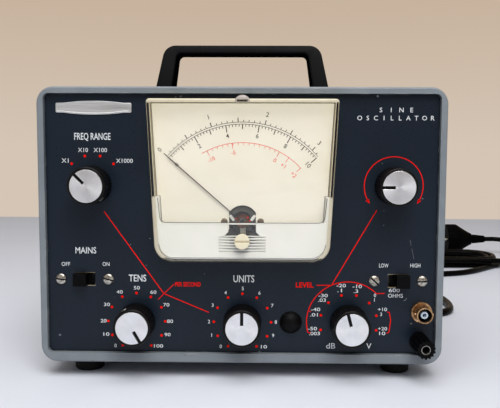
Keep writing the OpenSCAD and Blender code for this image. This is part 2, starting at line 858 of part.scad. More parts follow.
module filter_capacitor() {
  groove = 1.5;
  color("#c3c6c8") on_shelf(can_at) difference() {
    union() {
      rod(can_plate_d, 0, can_plate_t);
      rod(can_d, can_plate_t, can_h);
    }
    tube(can_d + 2 * groove, can_d - groove, can_plate_t + 4, can_plate_t + 6);
  }
}

module tube_sockets() {
  color("#3a2a20") for (p = tube_places) on_shelf(p) difference() {
    union() {
      rod(socket_d, -sheet - socket_deep, 0);
      rod(socket_rim_d, 0, socket_rim_t);
    }
    for (k = [0 : tube_pins - 1]) rotate(45 * k) translate([pin_circle_r, 0])
      rod(pin_d + 2 * fit, -pin_len, socket_rim_t + over);
  }
}

module vacuum_tubes() {
  shoulder = 6;
  tip_h = 4;
  r = tube_d / 2;
  color("#c9d6d8") for (p = tube_places) on_shelf(p, socket_rim_t) {
    rod(tube_d, 0, tube_h - shoulder);
    translate([0, 0, tube_h - shoulder]) cylinder(h = shoulder, r1 = r, r2 = r * 0.45);
    translate([0, 0, tube_h]) cylinder(h = tip_h, r1 = r * 0.3, r2 = r * 0.1);
    for (k = [0 : tube_pins - 1]) rotate(45 * k) translate([pin_circle_r, 0]) rod(pin_d, -pin_len, 0);
  }
}

module stabiliser_lamp() {
  neck = 8;
  bulb = 12;
  crown = 6;
  color("#d8c9a0") on_shelf(lamp_at) {
    rod(lamp_base_d, 0, lamp_base_h);
    translate([0, 0, lamp_base_h]) {
      cylinder(h = neck, d1 = lamp_base_d * 0.7, d2 = lamp_bulb_d);
      rod(lamp_bulb_d, neck, neck + bulb);
      translate([0, 0, neck + bulb]) cylinder(h = crown, d1 = lamp_bulb_d, d2 = lamp_bulb_d * 0.5);
    }
  }
}

module terminal_strips() {
  foot_w = 8;
  color("#8a5a33") for (z = strip_z) panel_frame() translate([0, shelf_y - sheet, z]) {
    translate([-strip_len / 2, -strip_gap - strip_h, -strip_t / 2]) cube([strip_len, strip_h, strip_t]);
    for (s = [-1, 1]) translate([s * strip_len / 3 - foot_w / 2, -strip_gap, -strip_t / 2])
      cube([foot_w, strip_gap, strip_t]);
  }
}

module wired_components() {
  span = strip_z[1] - strip_z[0] - strip_t - 2 * fit;
  row_y = shelf_y - sheet - strip_gap - strip_h / 2;
  row_z = strip_z[0] + strip_t / 2;
  color("#b5763a") for (k = [-3 : 3])
    at_panel([k * component_pitch, row_y], row_z) {
      body_d = k % 2 == 0 ? capacitor_d : resistor_d;
      body_len = k % 2 == 0 ? capacitor_len : resistor_len;
      rod(wire_d, fit, fit + span);
      rod(body_d, fit + (span - body_len) / 2, fit + (span + body_len) / 2);
    }
}

// Meter

function meter_points(inset) = eased(
  [
    [panel_shift - meter_top_w / 2 + inset, meter_top - inset],
    [panel_shift + meter_top_w / 2 - inset, meter_top - inset],
    [panel_shift + meter_low_w / 2 - inset, meter_bottom + inset],
    [panel_shift - meter_low_w / 2 + inset, meter_bottom + inset]
  ],
  [
    max(meter_top_round - inset, 0.4), max(meter_top_round - inset, 0.4),
    max(meter_low_round - inset, 0.4), max(meter_low_round - inset, 0.4)
  ]
);

module meter_slab(inset, z0, z1) {
  translate([0, 0, z0]) linear_extrude(z1 - z0) polygon(meter_points(inset));
}

// Everything above a height, in the panel frame
module above(y, z0, z1) {
  translate([panel_shift - meter_top_w, y, z0]) cube([2 * meter_top_w, meter_h, z1 - z0]);
}

module meter_case() {
  color("#17181a") panel_frame() difference() {
    union() {
      meter_slab(cover_wall / 4, 0, meter_flange_t);
      translate(barrel_at) rod(barrel_d, -barrel_deep, 0);
      for (p = studs_at) translate(p) rod(stud_d, -stud_len, 0);
    }
    translate(barrel_at) rod(barrel_d - 2 * barrel_wall, barrel_floor_z, meter_flange_t + over);
  }
}

module meter_cover() {
  color("#dfe6e6", 0.35) panel_frame() difference() {
    union() {
      meter_slab(0, meter_flange_t, meter_reach);
      translate([panel_shift, meter_top - tab_d / 4])
        rod(tab_d, meter_reach - cover_front, meter_reach + tab_proud);
    }
    meter_slab(cover_wall, meter_flange_t - over, cover_inside_z);
    translate(zero_at) rod(zero_shank_d + 2 * run, cover_inside_z - over, meter_reach + over);
  }
}

// Half the width between the mask's arms at a height
function mask_half(y) =
  (meter_low_w + (meter_top_w - meter_low_w) * (y - meter_bottom) / meter_h) / 2 - mask_inset - mask_t;

module meter_mask() {
  notch = [
    [-notch_top_w / 2, over], [notch_top_w / 2, over], [notch_top_w / 2, -notch_h * 0.65],
    [notch_low_w / 2, -notch_h], [-notch_low_w / 2, -notch_h], [-notch_top_w / 2, -notch_h * 0.65]
  ];
  rib_top = mask_top - notch_h - 1;
  window = [
    [panel_shift - mask_half(mask_arm_top + over), mask_arm_top + over],
    [panel_shift + mask_half(mask_arm_top + over), mask_arm_top + over],
    [panel_shift + mask_half(mask_top), mask_top], [panel_shift - mask_half(mask_top), mask_top]
  ];
  color("#efece4") panel_frame() difference() {
    meter_slab(mask_inset, meter_flange_t, mask_front_z);
    meter_slab(mask_inset + mask_t, meter_flange_t - over, mask_front_z - mask_t);
    above(mask_arm_top, 0, meter_reach);
    linear_extrude(meter_reach) polygon(eased(window, [0, 0, mask_round, mask_round]));
    translate([panel_shift, mask_top, mask_front_z - mask_t - over])
      linear_extrude(mask_t + 2 * over) polygon(notch);
    translate(zero_at) rod(zero_shank_d + 2 * free, 0, meter_reach);
    for (k = [0 : rib_count - 1])
      translate([panel_shift - rib_len / 2, rib_top - k * rib_pitch, mask_front_z - rib_deep])
        cube([rib_len, rib_w, over]);
  }
}

// The dial is narrow between the arms of the mask, and fills the cover above them
module plate_blank() {
  meter_slab(mask_inset + mask_t + free, plate_z, plate_front_z);
  intersection() {
    meter_slab(mask_inset, plate_z, plate_front_z);
    above(mask_arm_top + free, plate_z - over, plate_front_z + over);
  }
}

module scale_plate() {
  color("#ece6d6") panel_frame() difference() {
    plate_blank();
    translate([0, plate_bottom - meter_h]) above(0, plate_z - over, plate_front_z + over);
    translate([panel_shift, 0, plate_z - over]) linear_extrude(plate_t + 2 * over) intersection() {
      translate([-arch_w / 2, plate_bottom - over]) square([arch_w, meter_h]);
      union() {
        translate([0, arch_top - arch_r]) circle(arch_r);
        translate([-arch_w / 2, plate_bottom - over])
          square([arch_w, arch_top - arch_r - plate_bottom + over]);
      }
    }
    for (s = [-1, 1]) translate([panel_shift + s * plate_screw_x, plate_screw_y])
      rod(plate_screw_d + 2 * fit, plate_z - over, plate_front_z + over);
  }
}

module scale_plate_screws() {
  color("#8a6a3c") for (s = [-1, 1])
    at_panel([panel_shift + s * plate_screw_x, plate_screw_y], plate_front_z)
      slotted_screw(plate_screw_d, plate_head_d, plate_head_h, plate_screw_len);
}

module meter_magnet() {
  core_back_z = coil_back_z + coil_wire + core_end;
  core_front_z = coil_front_z - coil_wire - core_end;
  color("#54565a") at_panel(pivot_at) difference() {
    union() {
      difference() {
        translate([-magnet_w / 2, -magnet_h / 2, barrel_floor_z])
          cube([magnet_w, magnet_h, magnet_front_z - barrel_floor_z]);
        rod(gap_d, barrel_floor_z + magnet_back_t, magnet_front_z + over);
      }
      rod(core_d, core_back_z, core_front_z);
      translate([-core_end, -magnet_h / 2, core_back_z + web_end])
        cube([2 * core_end, magnet_h, core_front_z - core_back_z - 2 * web_end]);
      translate([-magnet_w / 2, -2, magnet_front_z]) cube([magnet_w, 4, bridge_t]);
      rod(boss_d, magnet_front_z, magnet_front_z + bridge_t + boss_h);
      for (s = [-1, 1]) translate([s * plate_screw_x, plate_screw_y - pivot_at.y])
        rod(plate_head_d, magnet_front_z, plate_z);
    }
    rod(staff_d + 2 * run, magnet_front_z - over, magnet_front_z + bridge_t + boss_h + over);
    rod(jewel_d + 2 * run, barrel_floor_z - over, barrel_floor_z + magnet_back_t + over);
    for (s = [-1, 1]) translate([s * plate_screw_x, plate_screw_y - pivot_at.y])
      rod(plate_screw_d + 2 * fit, plate_z - plate_screw_len, plate_z + over);
  }
}

module meter_pointer() {
  coil_out = coil_in + 2 * coil_wire;
  color("#141414") at_panel(pivot_at) rotate(pointer_rest) {
    rod(staff_d, coil_front_z, needle_z + hub_t);
    rod(hub_d, needle_z - hub_t / 2, needle_z + hub_t);
    translate([-needle_w / 2, -tail_len, needle_z]) cube([needle_w, tail_len + pointer_len, needle_t]);
    translate([0, -tail_len]) rod(hub_d, needle_z, needle_z + 2 * needle_t);
    difference() {
      translate([-coil_out / 2, -coil_wide / 2, coil_back_z])
        cube([coil_out, coil_wide, coil_front_z - coil_back_z]);
      translate([-coil_in / 2, -coil_wide, coil_back_z + coil_wire])
        cube([coil_in, 2 * coil_wide, coil_front_z - coil_back_z - 2 * coil_wire]);
    }
    rod(jewel_d, barrel_floor_z + free, coil_back_z);
  }
}

module zero_lever() {
  reach = pivot_at.y - zero_at.y + zero_offset;
  lever_len = reach + zero_offset + 1;
  slot_len = 2 * zero_offset;
  color("#8f9296") at_panel(pivot_at, lever_z) difference() {
    union() {
      rod(lever_eye_d, 0, lever_t);
      translate([-lever_w / 2, -lever_len, 0]) cube([lever_w, lever_len, lever_t]);
    }
    rod(boss_d + 2 * run, -over, lever_t + over);
    translate([-zero_pin_d / 2 - 0.15, -reach - slot_len / 2, -over])
      cube([zero_pin_d + 0.3, slot_len, lever_t + 2 * over]);
  }
}

module zero_adjuster() {
  color("#e6dcb4") at_panel(zero_at) {
    difference() {
      union() {
        rod(zero_shank_d, lever_z + lever_t + free, meter_reach + fit);
        rod(zero_d, meter_reach + fit, meter_reach + fit + zero_head_t);
      }
      translate([-zero_d, -zero_slot_w / 2, meter_reach + fit + zero_head_t / 2])
        cube([2 * zero_d, zero_slot_w, zero_head_t]);
    }
    translate([0, -zero_offset]) rod(zero_pin_d, lever_z - free, lever_z + lever_t + free);
  }
}

// Knobs, each turned to its place on the dial

module knob_at(place, angle) {
  at_panel(place) rotate(-angle) children();
}

module set_screw(d, start, end) {
  translate([0, 0, set_screw_z]) rotate([90, 0, 0]) rod(d, start, end);
}

module dial_knob(place, angle) {
  color("#161719") knob_at(place, angle) {
    difference() {
      translate([0, 0, knob_gap]) cylinder(h = knob_reach - knob_gap, d1 = knob_base_d, d2 = knob_top_d);
      rod(cap_d + 2 * fit, cap_back_z, knob_reach + over);
      rod(knob_well_d, 0, knob_well_z);
      rod(shaft_d + 2 * run, 0, shaft_tip_z + free);
      set_screw(set_screw_d + 2 * run, 0, knob_base_d);
    }
    set_screw(set_screw_d, shaft_d / 2 + run, shaft_d / 2 + set_screw_len);
  }
}

module dial_cap(place, angle) {
  color("#cfd1d2") knob_at(place, angle) difference() {
    rod(cap_d, cap_back_z, knob_reach + cap_proud);
    translate([-pointer_w / 2, pointer_start, cap_back_z - over])
      cube([pointer_w, cap_d, cap_t + 2 * over]);
  }
}

module dial_shaft(place, angle, back_z) {
  color("#9a9c9e") knob_at(place, angle) rod(shaft_d, back_z, shaft_tip_z);
}

module multiplier_knob() { dial_knob(multiplier_at, multiplier_angle); }
module multiplier_cap() { dial_cap(multiplier_at, multiplier_angle); }
module multiplier_shaft() { dial_shaft(multiplier_at, multiplier_angle, upper_shaft_back); }
module tens_knob() { dial_knob(tens_at, tens_angle); }
module tens_cap() { dial_cap(tens_at, tens_angle); }
module tens_shaft() { dial_shaft(tens_at, tens_angle, lower_shaft_back); }
module units_knob() { dial_knob(units_at, units_angle); }
module units_cap() { dial_cap(units_at, units_angle); }
module units_shaft() { dial_shaft(units_at, units_angle, lower_shaft_back); }
module attenuator_knob() { dial_knob(attenuator_at, attenuator_angle); }
module attenuator_cap() { dial_cap(attenuator_at, attenuator_angle); }
module attenuator_shaft() { dial_shaft(attenuator_at, attenuator_angle, lower_shaft_back); }
module level_knob() { dial_knob(level_at, level_angle); }
module level_cap() { dial_cap(level_at, level_angle); }
module level_shaft() { dial_shaft(level_at, level_angle, level_shaft_back); }

// Controls behind the panel

module rotary_switch(seat_z) {
  back_z = seat_z - switch_back;
  difference() {
    union() {
      rod(bush_d, seat_z - detent_t, bush_reach);
      slab(wafer_d * 0.8, wafer_d, 3, seat_z - detent_t, seat_z);
      for (s = [-1, 1]) translate([0, s * strut_pitch / 2]) rod(strut_d, back_z, seat_z - detent_t);
      for (k = [1 : wafer_count]) translate([0, 0, seat_z - detent_t - k * wafer_pitch])
        rod(wafer_d, 0, wafer_t);
    }
    rod(shaft_d + 2 * run, back_z - over, bush_reach + over);
  }
}

module rotary_switches() {
  color("#7d6b52") {
    at_panel(multiplier_at) rotary_switch(-panel_t);
    for (p = lower_knobs_at) at_panel(p) rotary_switch(switch_seat_z);
  }
}

module level_control() {
  color("#6d6f72") at_panel(level_at) difference() {
    union() {
      rod(bush_d, -panel_t - level_floor, bush_reach);
      rod(level_d, -panel_t - level_deep, -panel_t);
      for (s = [-1 : 1])
        translate([s * lug_pitch - lug_w / 2, -level_d / 2 - lug_len, -panel_t - lug_back])
          cube([lug_w, 1.5 * lug_len, lug_t]);
    }
    rod(shaft_d + 2 * run, level_shaft_back - free, bush_reach + over);
  }
}

module hex_nut(af, bore, z0, z1) {
  difference() {
    hex(af, z0, z1);
    rod(bore + 2 * fit, z0 - over, z1 + over);
  }
}

module panel_nuts() {
  color("#b4b6b6") {
    for (p = knobs_at) at_panel(p) hex_nut(nut_af, bush_d, 0, nut_t);
    for (p = studs_at) at_panel(p) hex_nut(stud_nut_af, stud_d, -panel_t - stud_nut_t, -panel_t);
    at_panel(post_at, -panel_t - post_washer_t) hex_nut(post_nut_af, post_stud_d, -post_nut_t, 0);
  }
}

// Slide switches

module slide_switch_body() {
  cavity_w = slide_box_w - 2 * slide_wall;
  cavity_h = window_h + 2.2;
  back_z = -panel_t - slide_wall - slide_deep;
  difference() {
    union() {
      slab(slide_ear_w, slide_ear_h, 2, -panel_t - slide_wall, -panel_t);
      slab(slide_box_w, slide_ear_h, 1, back_z, -panel_t - slide_wall);
    }
    translate([-cavity_w / 2, -cavity_h / 2, back_z + slide_wall])
      cube([cavity_w, cavity_h, slide_deep - slide_wall]);
    translate([-window_w / 2, -window_h / 2, -panel_t - slide_wall - over])
      cube([window_w, window_h, slide_wall + 2 * over]);
    for (s = [-1, 1]) translate([s * slide_pitch / 2, 0])
      rod(panel_screw_d + 2 * fit, -panel_t - slide_wall - over, 0);
  }
}

module slide_switch_bodies() {
  color("#9c9a92") for (p = [power_at, load_at]) at_panel(p) slide_switch_body();
}

module slider() {
  base_z = -panel_t - slide_wall - free - slider_base_t;
  translate([-slider_w / 2, -slider_h / 2, base_z]) cube([slider_w, slider_h, slider_reach - base_z]);
  translate([-slider_base_w / 2, -slider_base_h / 2, base_z])
    cube([slider_base_w, slider_base_h, slider_base_t]);
}

module power_slider() {
  color("#121315") at_panel(power_at - [slide_travel / 2, 0]) slider();
}

module load_slider() {
  color("#121315") at_panel(load_at + [slide_travel / 2, 0]) slider();
}

module slide_switch_screws() {
  color("#c4c5c4") for (p = [power_at, load_at], s = [-1, 1]) at_panel(p + [s * slide_pitch / 2, 0])
    slotted_screw(panel_screw_d, panel_head_d, panel_head_h, panel_screw_len);
}

// Pilot lamp and terminals

module pilot_lens() {
  dome_r = (pilot_d * pilot_d / 4 + pilot_reach * pilot_reach) / (2 * pilot_reach);
  color("#16120f") at_panel(pilot_at) difference() {
    union() {
      intersection() {
        translate([0, 0, pilot_reach - dome_r]) sphere(dome_r);
        rod(2 * pilot_d, 0, pilot_reach + over);
      }
      rod(pilot_body_d, -pilot_deep, 0);
    }
    rod(pilot_lamp_d + 2 * fit, -pilot_deep - over, 0);
  }
}

module pilot_lamp() {
  color("#d98a5a") at_panel(pilot_at) rod(pilot_lamp_d, -pilot_lamp_len, -free);
}

module jack_shell() {
  color("#c3a06a") at_panel(jack_at) difference() {
    union() {
      rod(jack_d, -jack_deep, jack_reach);
      rod(jack_body_d, -panel_t - jack_body_t, -panel_t);
      for (s = [-1, 1]) translate([0, 0, jack_reach - jack_lug_drop]) rotate([0, s * 90, 0])
        rod(jack_lug_d, jack_bore / 2 + fit, jack_d / 2 + jack_lug_reach);
    }
    rod(jack_bore, jack_floor_z, jack_reach + over);
    rod(jack_insert_d + 2 * fit, -jack_deep - over, jack_reach);
  }
}

module jack_insulator() {
  color("#dfe6ec") at_panel(jack_at) difference() {
    rod(jack_insert_d, -jack_deep, jack_face_z);
    rod(jack_contact_d, jack_face_z - jack_contact_deep, jack_reach);
  }
}

module jack_nut() {
  color("#b8834a") at_panel(jack_at) tube(jack_nut_d, jack_d + 2 * fit, 0, jack_nut_t);
}

module post_stud() {
  tip_z = post_reach - 0.5;
  color("#c9c4b4") at_panel(post_at) difference() {
    rod(post_stud_d, -post_tail, tip_z);
    rod(post_bore, post_base_t, tip_z + over);
  }
}

module post_insulators() {
  color("#141517") at_panel(post_at) {
    difference() {
      union() {
        rod(post_base_d, 0, post_base_t);
        rod(post_neck_d, -panel_t + fit, 0);
      }
      rod(post_stud_d + 2 * fit, -panel_t - over, post_base_t + over);
    }
    tube(post_base_d, post_stud_d + 2 * fit, -panel_t - post_washer_t, -panel_t);
  }
}

module post_cap() {
  color("#121315") at_panel(post_at) difference() {
    rod(post_cap_d, post_base_t + free, post_reach);
    rod(post_stud_d + 2 * run, 0, post_reach + over);
    for (k = [0 : post_flutes - 1]) rotate(360 / post_flutes * k) translate([post_cap_d / 2, 0])
      rod(post_flute_d, post_base_t + 3, post_reach + over);
  }
}

// Mains lead

// A point on the smooth curve through four points, between the middle two
function curve_point(a, b, c, d, t) =
  0.5 * (2 * b + (c - a) * t + (2 * a - 5 * b + 4 * c - d) * t * t + (3 * b - a - 3 * c + d) * t * t * t);

// A smooth path through the points, with a number of steps from each point to the next
function smooth_path(points, steps) =
  let (n = len(points))
  [
    for (i = [0 : n - 2], k = [0 : steps - 1])
      curve_point(points[max(i - 1, 0)], points[i], points[i + 1], points[min(i + 2, n - 1)], k / steps),
    points[n - 1]
  ];

// The corners of a tube's rings, one ring square to the path at each of its points
function tube_rings(path, d, sides) =
  let (n = len(path))
  [for (i = [0 : n - 1])
    let (
      ahead = unit(path[min(i + 1, n - 1)] - path[max(i - 1, 0)]),
      side = unit(cross(ahead, [0, 0, 1])),
      up = cross(side, ahead)
    )
    for (k = [0 : sides - 1])
      let (a = 360 * (k + 0.5) / sides)
      path[i] + d / 2 * (cos(a) * side + sin(a) * up)];

module path_tube(path, d, sides) {
  n = len(path);
  last = (n - 1) * sides;
  walls = [for (i = [0 : n - 2], k = [0 : sides - 1])
    let (a = i * sides + k, b = i * sides + (k + 1) % sides)
    each [[a, b, b + sides], [a, b + sides, a + sides]]];
  start = [for (k = [1 : sides - 2]) [0, k + 1, k]];
  end = [for (k = [1 : sides - 2]) [last, last + k, last + k + 1]];
  polyhedron(tube_rings(path, d, sides), concat(walls, start, end));
}

// The coil is a flat oval spiral that runs in, climbs one layer and runs out again
function loop_plan(share, r) =
  let (bend = 0.5 - run_share, half = loop_run / 2)
  share < run_share ? loop_middle + [-half + loop_run * share / run_share, -r] :
  share < 0.5 ? loop_middle + [half, 0] + polar(r, -90 + 180 * (share - run_share) / bend) :
  share < 0.5 + run_share ? loop_middle + [half - loop_run * (share - 0.5) / run_share, r] :
  loop_middle - [half, 0] + polar(r, 90 + 180 * (share - 0.5 - run_share) / bend);

function loop_inset(turn) =
  turn < loop_in ? loop_step * turn :
  turn < loop_in + loop_reverse ? loop_step * loop_in :
  loop_step * (2 * loop_in + loop_reverse - turn);

function loop_height(turn) =
  let (t = min(max((turn - loop_in) / loop_reverse, 0), 1))
  cord_z + loop_lift * t * t * (3 - 2 * t);

function loop_point(turn) =
  let (plan = loop_plan(turn - floor(turn), loop_round - loop_inset(turn)))
  [plan.x, plan.y, loop_height(turn)];

loop_turns = loop_end + run_share;
loop_first = loop_point(loop_start);
loop_last = loop_point(loop_turns - 0.001);
loop_path = concat(
  [loop_first - cord_d * loop_way, loop_first],
  [for (k = [floor(loop_rings * loop_start) + 1 : floor(loop_rings * loop_turns) - 1])
    loop_point(k / loop_rings)],
  [loop_last, loop_last + [cord_d, 0, 0]]
);

// Distance from a point to a stretch of the path
function stretch_distance(p, a, b) =
  let (t = min(max((p - a) * (b - a) / ((b - a) * (b - a)), 0), 1))
  norm(p - a - t * (b - a));

loop_gap = min([for (i = [0 : len(loop_path) - 1], j = [i + 6 : len(loop_path) - 2])
  stretch_distance(loop_path[i], loop_path[j], loop_path[j + 1])]) - cord_d;

function path_length(path, i = 1) =
  i == len(path) ? 0 : norm(path[i] - path[i - 1]) + path_length(path, i + 1);

// Lifts a path so that the cord lies on the table and not in it
function on_table(path) = [for (p = path) [p.x, p.y, max(p.z, cord_z)]];

// Each end of a cord stretch runs straight for two diameters
function straight_end(p, way) = [for (k = [0 : 2]) p + k * cord_d * way];

lead_path = on_table(smooth_path(concat(
  straight_end(lead_start, [0, 1, 0]),
  lead_points,
  [loop_path[0] - cord_d * loop_way, loop_path[0]]
), path_steps));
tail_path = on_table(smooth_path(concat(
  straight_end(loop_last + [cord_d, 0, 0], [1, 0, 0]),
  tail_points,
  [for (k = [2 : -1 : 0]) plug_at + [k * cord_d, 0, 0]]
), path_steps));

echo(loop_gap = loop_gap);
echo(cord_length = path_length(lead_path) + path_length(loop_path) + path_length(tail_path));

module cord_strain_relief() {
  neck_flange = 2;
  color("#141414") translate([relief_at.x, rear_y, lead_z]) rotate([-90, 0, 0]) {
    rod(relief_neck_d + 4, -sheet - neck_flange, -sheet);
    rod(relief_neck_d, -sheet, 0);
    cylinder(h = relief_len, d1 = relief_neck_d + 2, d2 = cord_d + 2);
  }
}

module cord_lead() {
  color("#101010") path_tube(lead_path, cord_d, tube_sides);
}

module cord_coil() {
  color("#101010") path_tube(loop_path, cord_d, loop_sides);
}

module cord_tail() {
  color("#101010") path_tube(tail_path, cord_d, tube_sides);
}

module on_plug() {
  translate(plug_at) rotate([0, -90, 0]) children();
}

module plug_body() {
  cone_z = plug_len - plug_rim_len;
  color("#121212") on_plug() difference() {
    union() {
      cylinder(h = plug_sleeve_len, d1 = plug_end_d, d2 = plug_sleeve_d);
      translate([0, 0, plug_sleeve_len])
        cylinder(h = cone_z - plug_sleeve_len, d1 = plug_waist_d, d2 = plug_d);
      rod(plug_d, cone_z, plug_len);
    }
    for (s = [-1, 1]) translate([0, s * plug_pin_pitch / 2])
      rod(plug_pin_d + 2 * fit, plug_len - plug_pin_root, plug_len + over);
  }
}

module plug_pins() {
  color("#c9b06a") on_plug() for (s = [-1, 1]) translate([0, s * plug_pin_pitch / 2])
    rod(plug_pin_d, plug_len - plug_pin_root, plug_len + plug_pin_len);
}

cabinet_shell();
rear_cover();
case_screws();
front_panel();
carry_handle();
rubber_feet();
chassis();
chassis_screws();
power_transformer();
filter_capacitor();
tube_sockets();
vacuum_tubes();
stabiliser_lamp();
terminal_strips();
wired_components();
meter_cover();
meter_mask();
scale_plate();
scale_plate_screws();
meter_case();
meter_magnet();
meter_pointer();
zero_adjuster();
zero_lever();
multiplier_knob();
multiplier_cap();
multiplier_shaft();
tens_knob();
tens_cap();
tens_shaft();
units_knob();
units_cap();
units_shaft();
attenuator_knob();
attenuator_cap();
attenuator_shaft();
level_knob();
level_cap();
level_shaft();
rotary_switches();
level_control();
panel_nuts();
slide_switch_bodies();
slide_switch_screws();
power_slider();
load_slider();
pilot_lens();
pilot_lamp();
jack_shell();
jack_insulator();
jack_nut();
post_stud();
post_insulators();
post_cap();
cord_strain_relief();
cord_lead();
cord_coil();
cord_tail();
plug_body();
plug_pins();
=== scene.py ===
"""Looks of a benchtop audio generator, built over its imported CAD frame.

Sizes are in millimetres and angles in degrees. The panel's frame has x to the right, y up and z
towards the viewer, from the middle of the cabinet on the panel's front face. Angles round a knob
or a dial run clockwise from straight up.
"""

import json
import logging
import math
from collections.abc import Callable, Iterable, Sequence
from dataclasses import dataclass
from enum import Enum
from typing import Any

import bmesh
import bpy
from bmesh.types import BMFace, BMVert
from bpy.types import Material, Node, NodeSocket, NodeTree, Object
from mathutils import Matrix, Vector

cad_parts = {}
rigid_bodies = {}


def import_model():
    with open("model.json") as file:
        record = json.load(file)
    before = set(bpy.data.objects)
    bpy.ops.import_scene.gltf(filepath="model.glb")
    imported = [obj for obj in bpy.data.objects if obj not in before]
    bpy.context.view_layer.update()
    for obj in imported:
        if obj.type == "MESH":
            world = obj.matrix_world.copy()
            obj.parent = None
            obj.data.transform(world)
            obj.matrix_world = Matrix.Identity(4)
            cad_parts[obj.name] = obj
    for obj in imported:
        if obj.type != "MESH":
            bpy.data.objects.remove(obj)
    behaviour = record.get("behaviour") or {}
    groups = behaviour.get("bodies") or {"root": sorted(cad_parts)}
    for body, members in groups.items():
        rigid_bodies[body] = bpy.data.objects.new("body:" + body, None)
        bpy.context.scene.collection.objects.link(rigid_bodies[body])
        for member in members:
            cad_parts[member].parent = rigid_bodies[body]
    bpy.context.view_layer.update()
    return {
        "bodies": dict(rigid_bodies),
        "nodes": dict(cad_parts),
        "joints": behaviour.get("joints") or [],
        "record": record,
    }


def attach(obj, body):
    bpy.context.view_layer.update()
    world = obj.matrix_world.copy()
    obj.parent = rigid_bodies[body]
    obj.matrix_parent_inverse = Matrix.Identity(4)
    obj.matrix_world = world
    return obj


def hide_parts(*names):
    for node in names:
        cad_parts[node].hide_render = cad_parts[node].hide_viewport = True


MM = 0.001
PANEL_Y = -53.9
MID_Z = 92.05
LOG = logging.getLogger("scene")

# Noise crowds round one half, so each pattern stretches only a part of its range
GRAIN_ENDS = {"From Min": 0.3, "From Max": 0.7}
DRIFT_ENDS = {"From Min": 0.32, "From Max": 0.68}
RUBBED_ENDS = {"From Min": 0.55, "From Max": 0.64}
# Cosine of the bend at which an edge starts to wear, and at which it is all worn
BEND_ENDS = {"From Min": 0.97, "From Max": 0.85}
# A speck is full inside this share of its size, and fades out to its rim
SPECK_CORE = 0.6
BEVEL_SAMPLES = 6
# A finish that is at least this metallic keeps the shader's own IOR
METAL_FROM = 0.5
# Distances, in metres, at which a cut and two joined skins share their points
CUT_GAP = 1e-7
WELD_GAP = 1e-6
# Degrees between two marks round a knob
MARK_STEP = 30.0

Point = tuple[float, float]
Triple = tuple[float, float, float]
Points = tuple[Point, ...]


class Body(Enum):
    """The bodies of the frame that pieces ride on."""

    INSTRUMENT = "instrument"
    MULTIPLIER = "multiplier_dial"
    TENS = "tens_dial"
    UNITS = "units_dial"
    ATTENUATOR = "attenuator_dial"
    LEVEL = "level_dial"


def linear(colour: str) -> tuple[float, float, float, float]:
    """Turns an sRGB hex colour into linear light.

    Args:
        colour: six hex digits with a leading hash.

    Returns:
        Red, green, blue and an alpha of one.
    """
    parts = [int(colour[i : i + 2], 16) / 255 for i in (1, 3, 5)]
    red, green, blue = (p / 12.92 if p <= 0.04045 else ((p + 0.055) / 1.055) ** 2.4 for p in parts)
    return red, green, blue, 1.0


def add_node(tree: NodeTree, kind: str, inputs: dict | None = None, **settings: Any) -> Node:
    """Adds a node, with its settings, and with its inputs set or linked.

    Args:
        tree: the node tree of a material or of the world.
        kind: the node's type without its ShaderNode prefix.
        inputs: values, or the output sockets to link, by input name or number.
        settings: the node's own properties.

    Returns:
        The new node.
    """
    node = tree.nodes.new("ShaderNode" + kind)
    for name, value in settings.items():
        setattr(node, name, value)
    for name, value in (inputs or {}).items():
        if isinstance(value, NodeSocket):
            tree.links.new(value, node.inputs[name])
        else:
            node.inputs[name].default_value = value
    return node


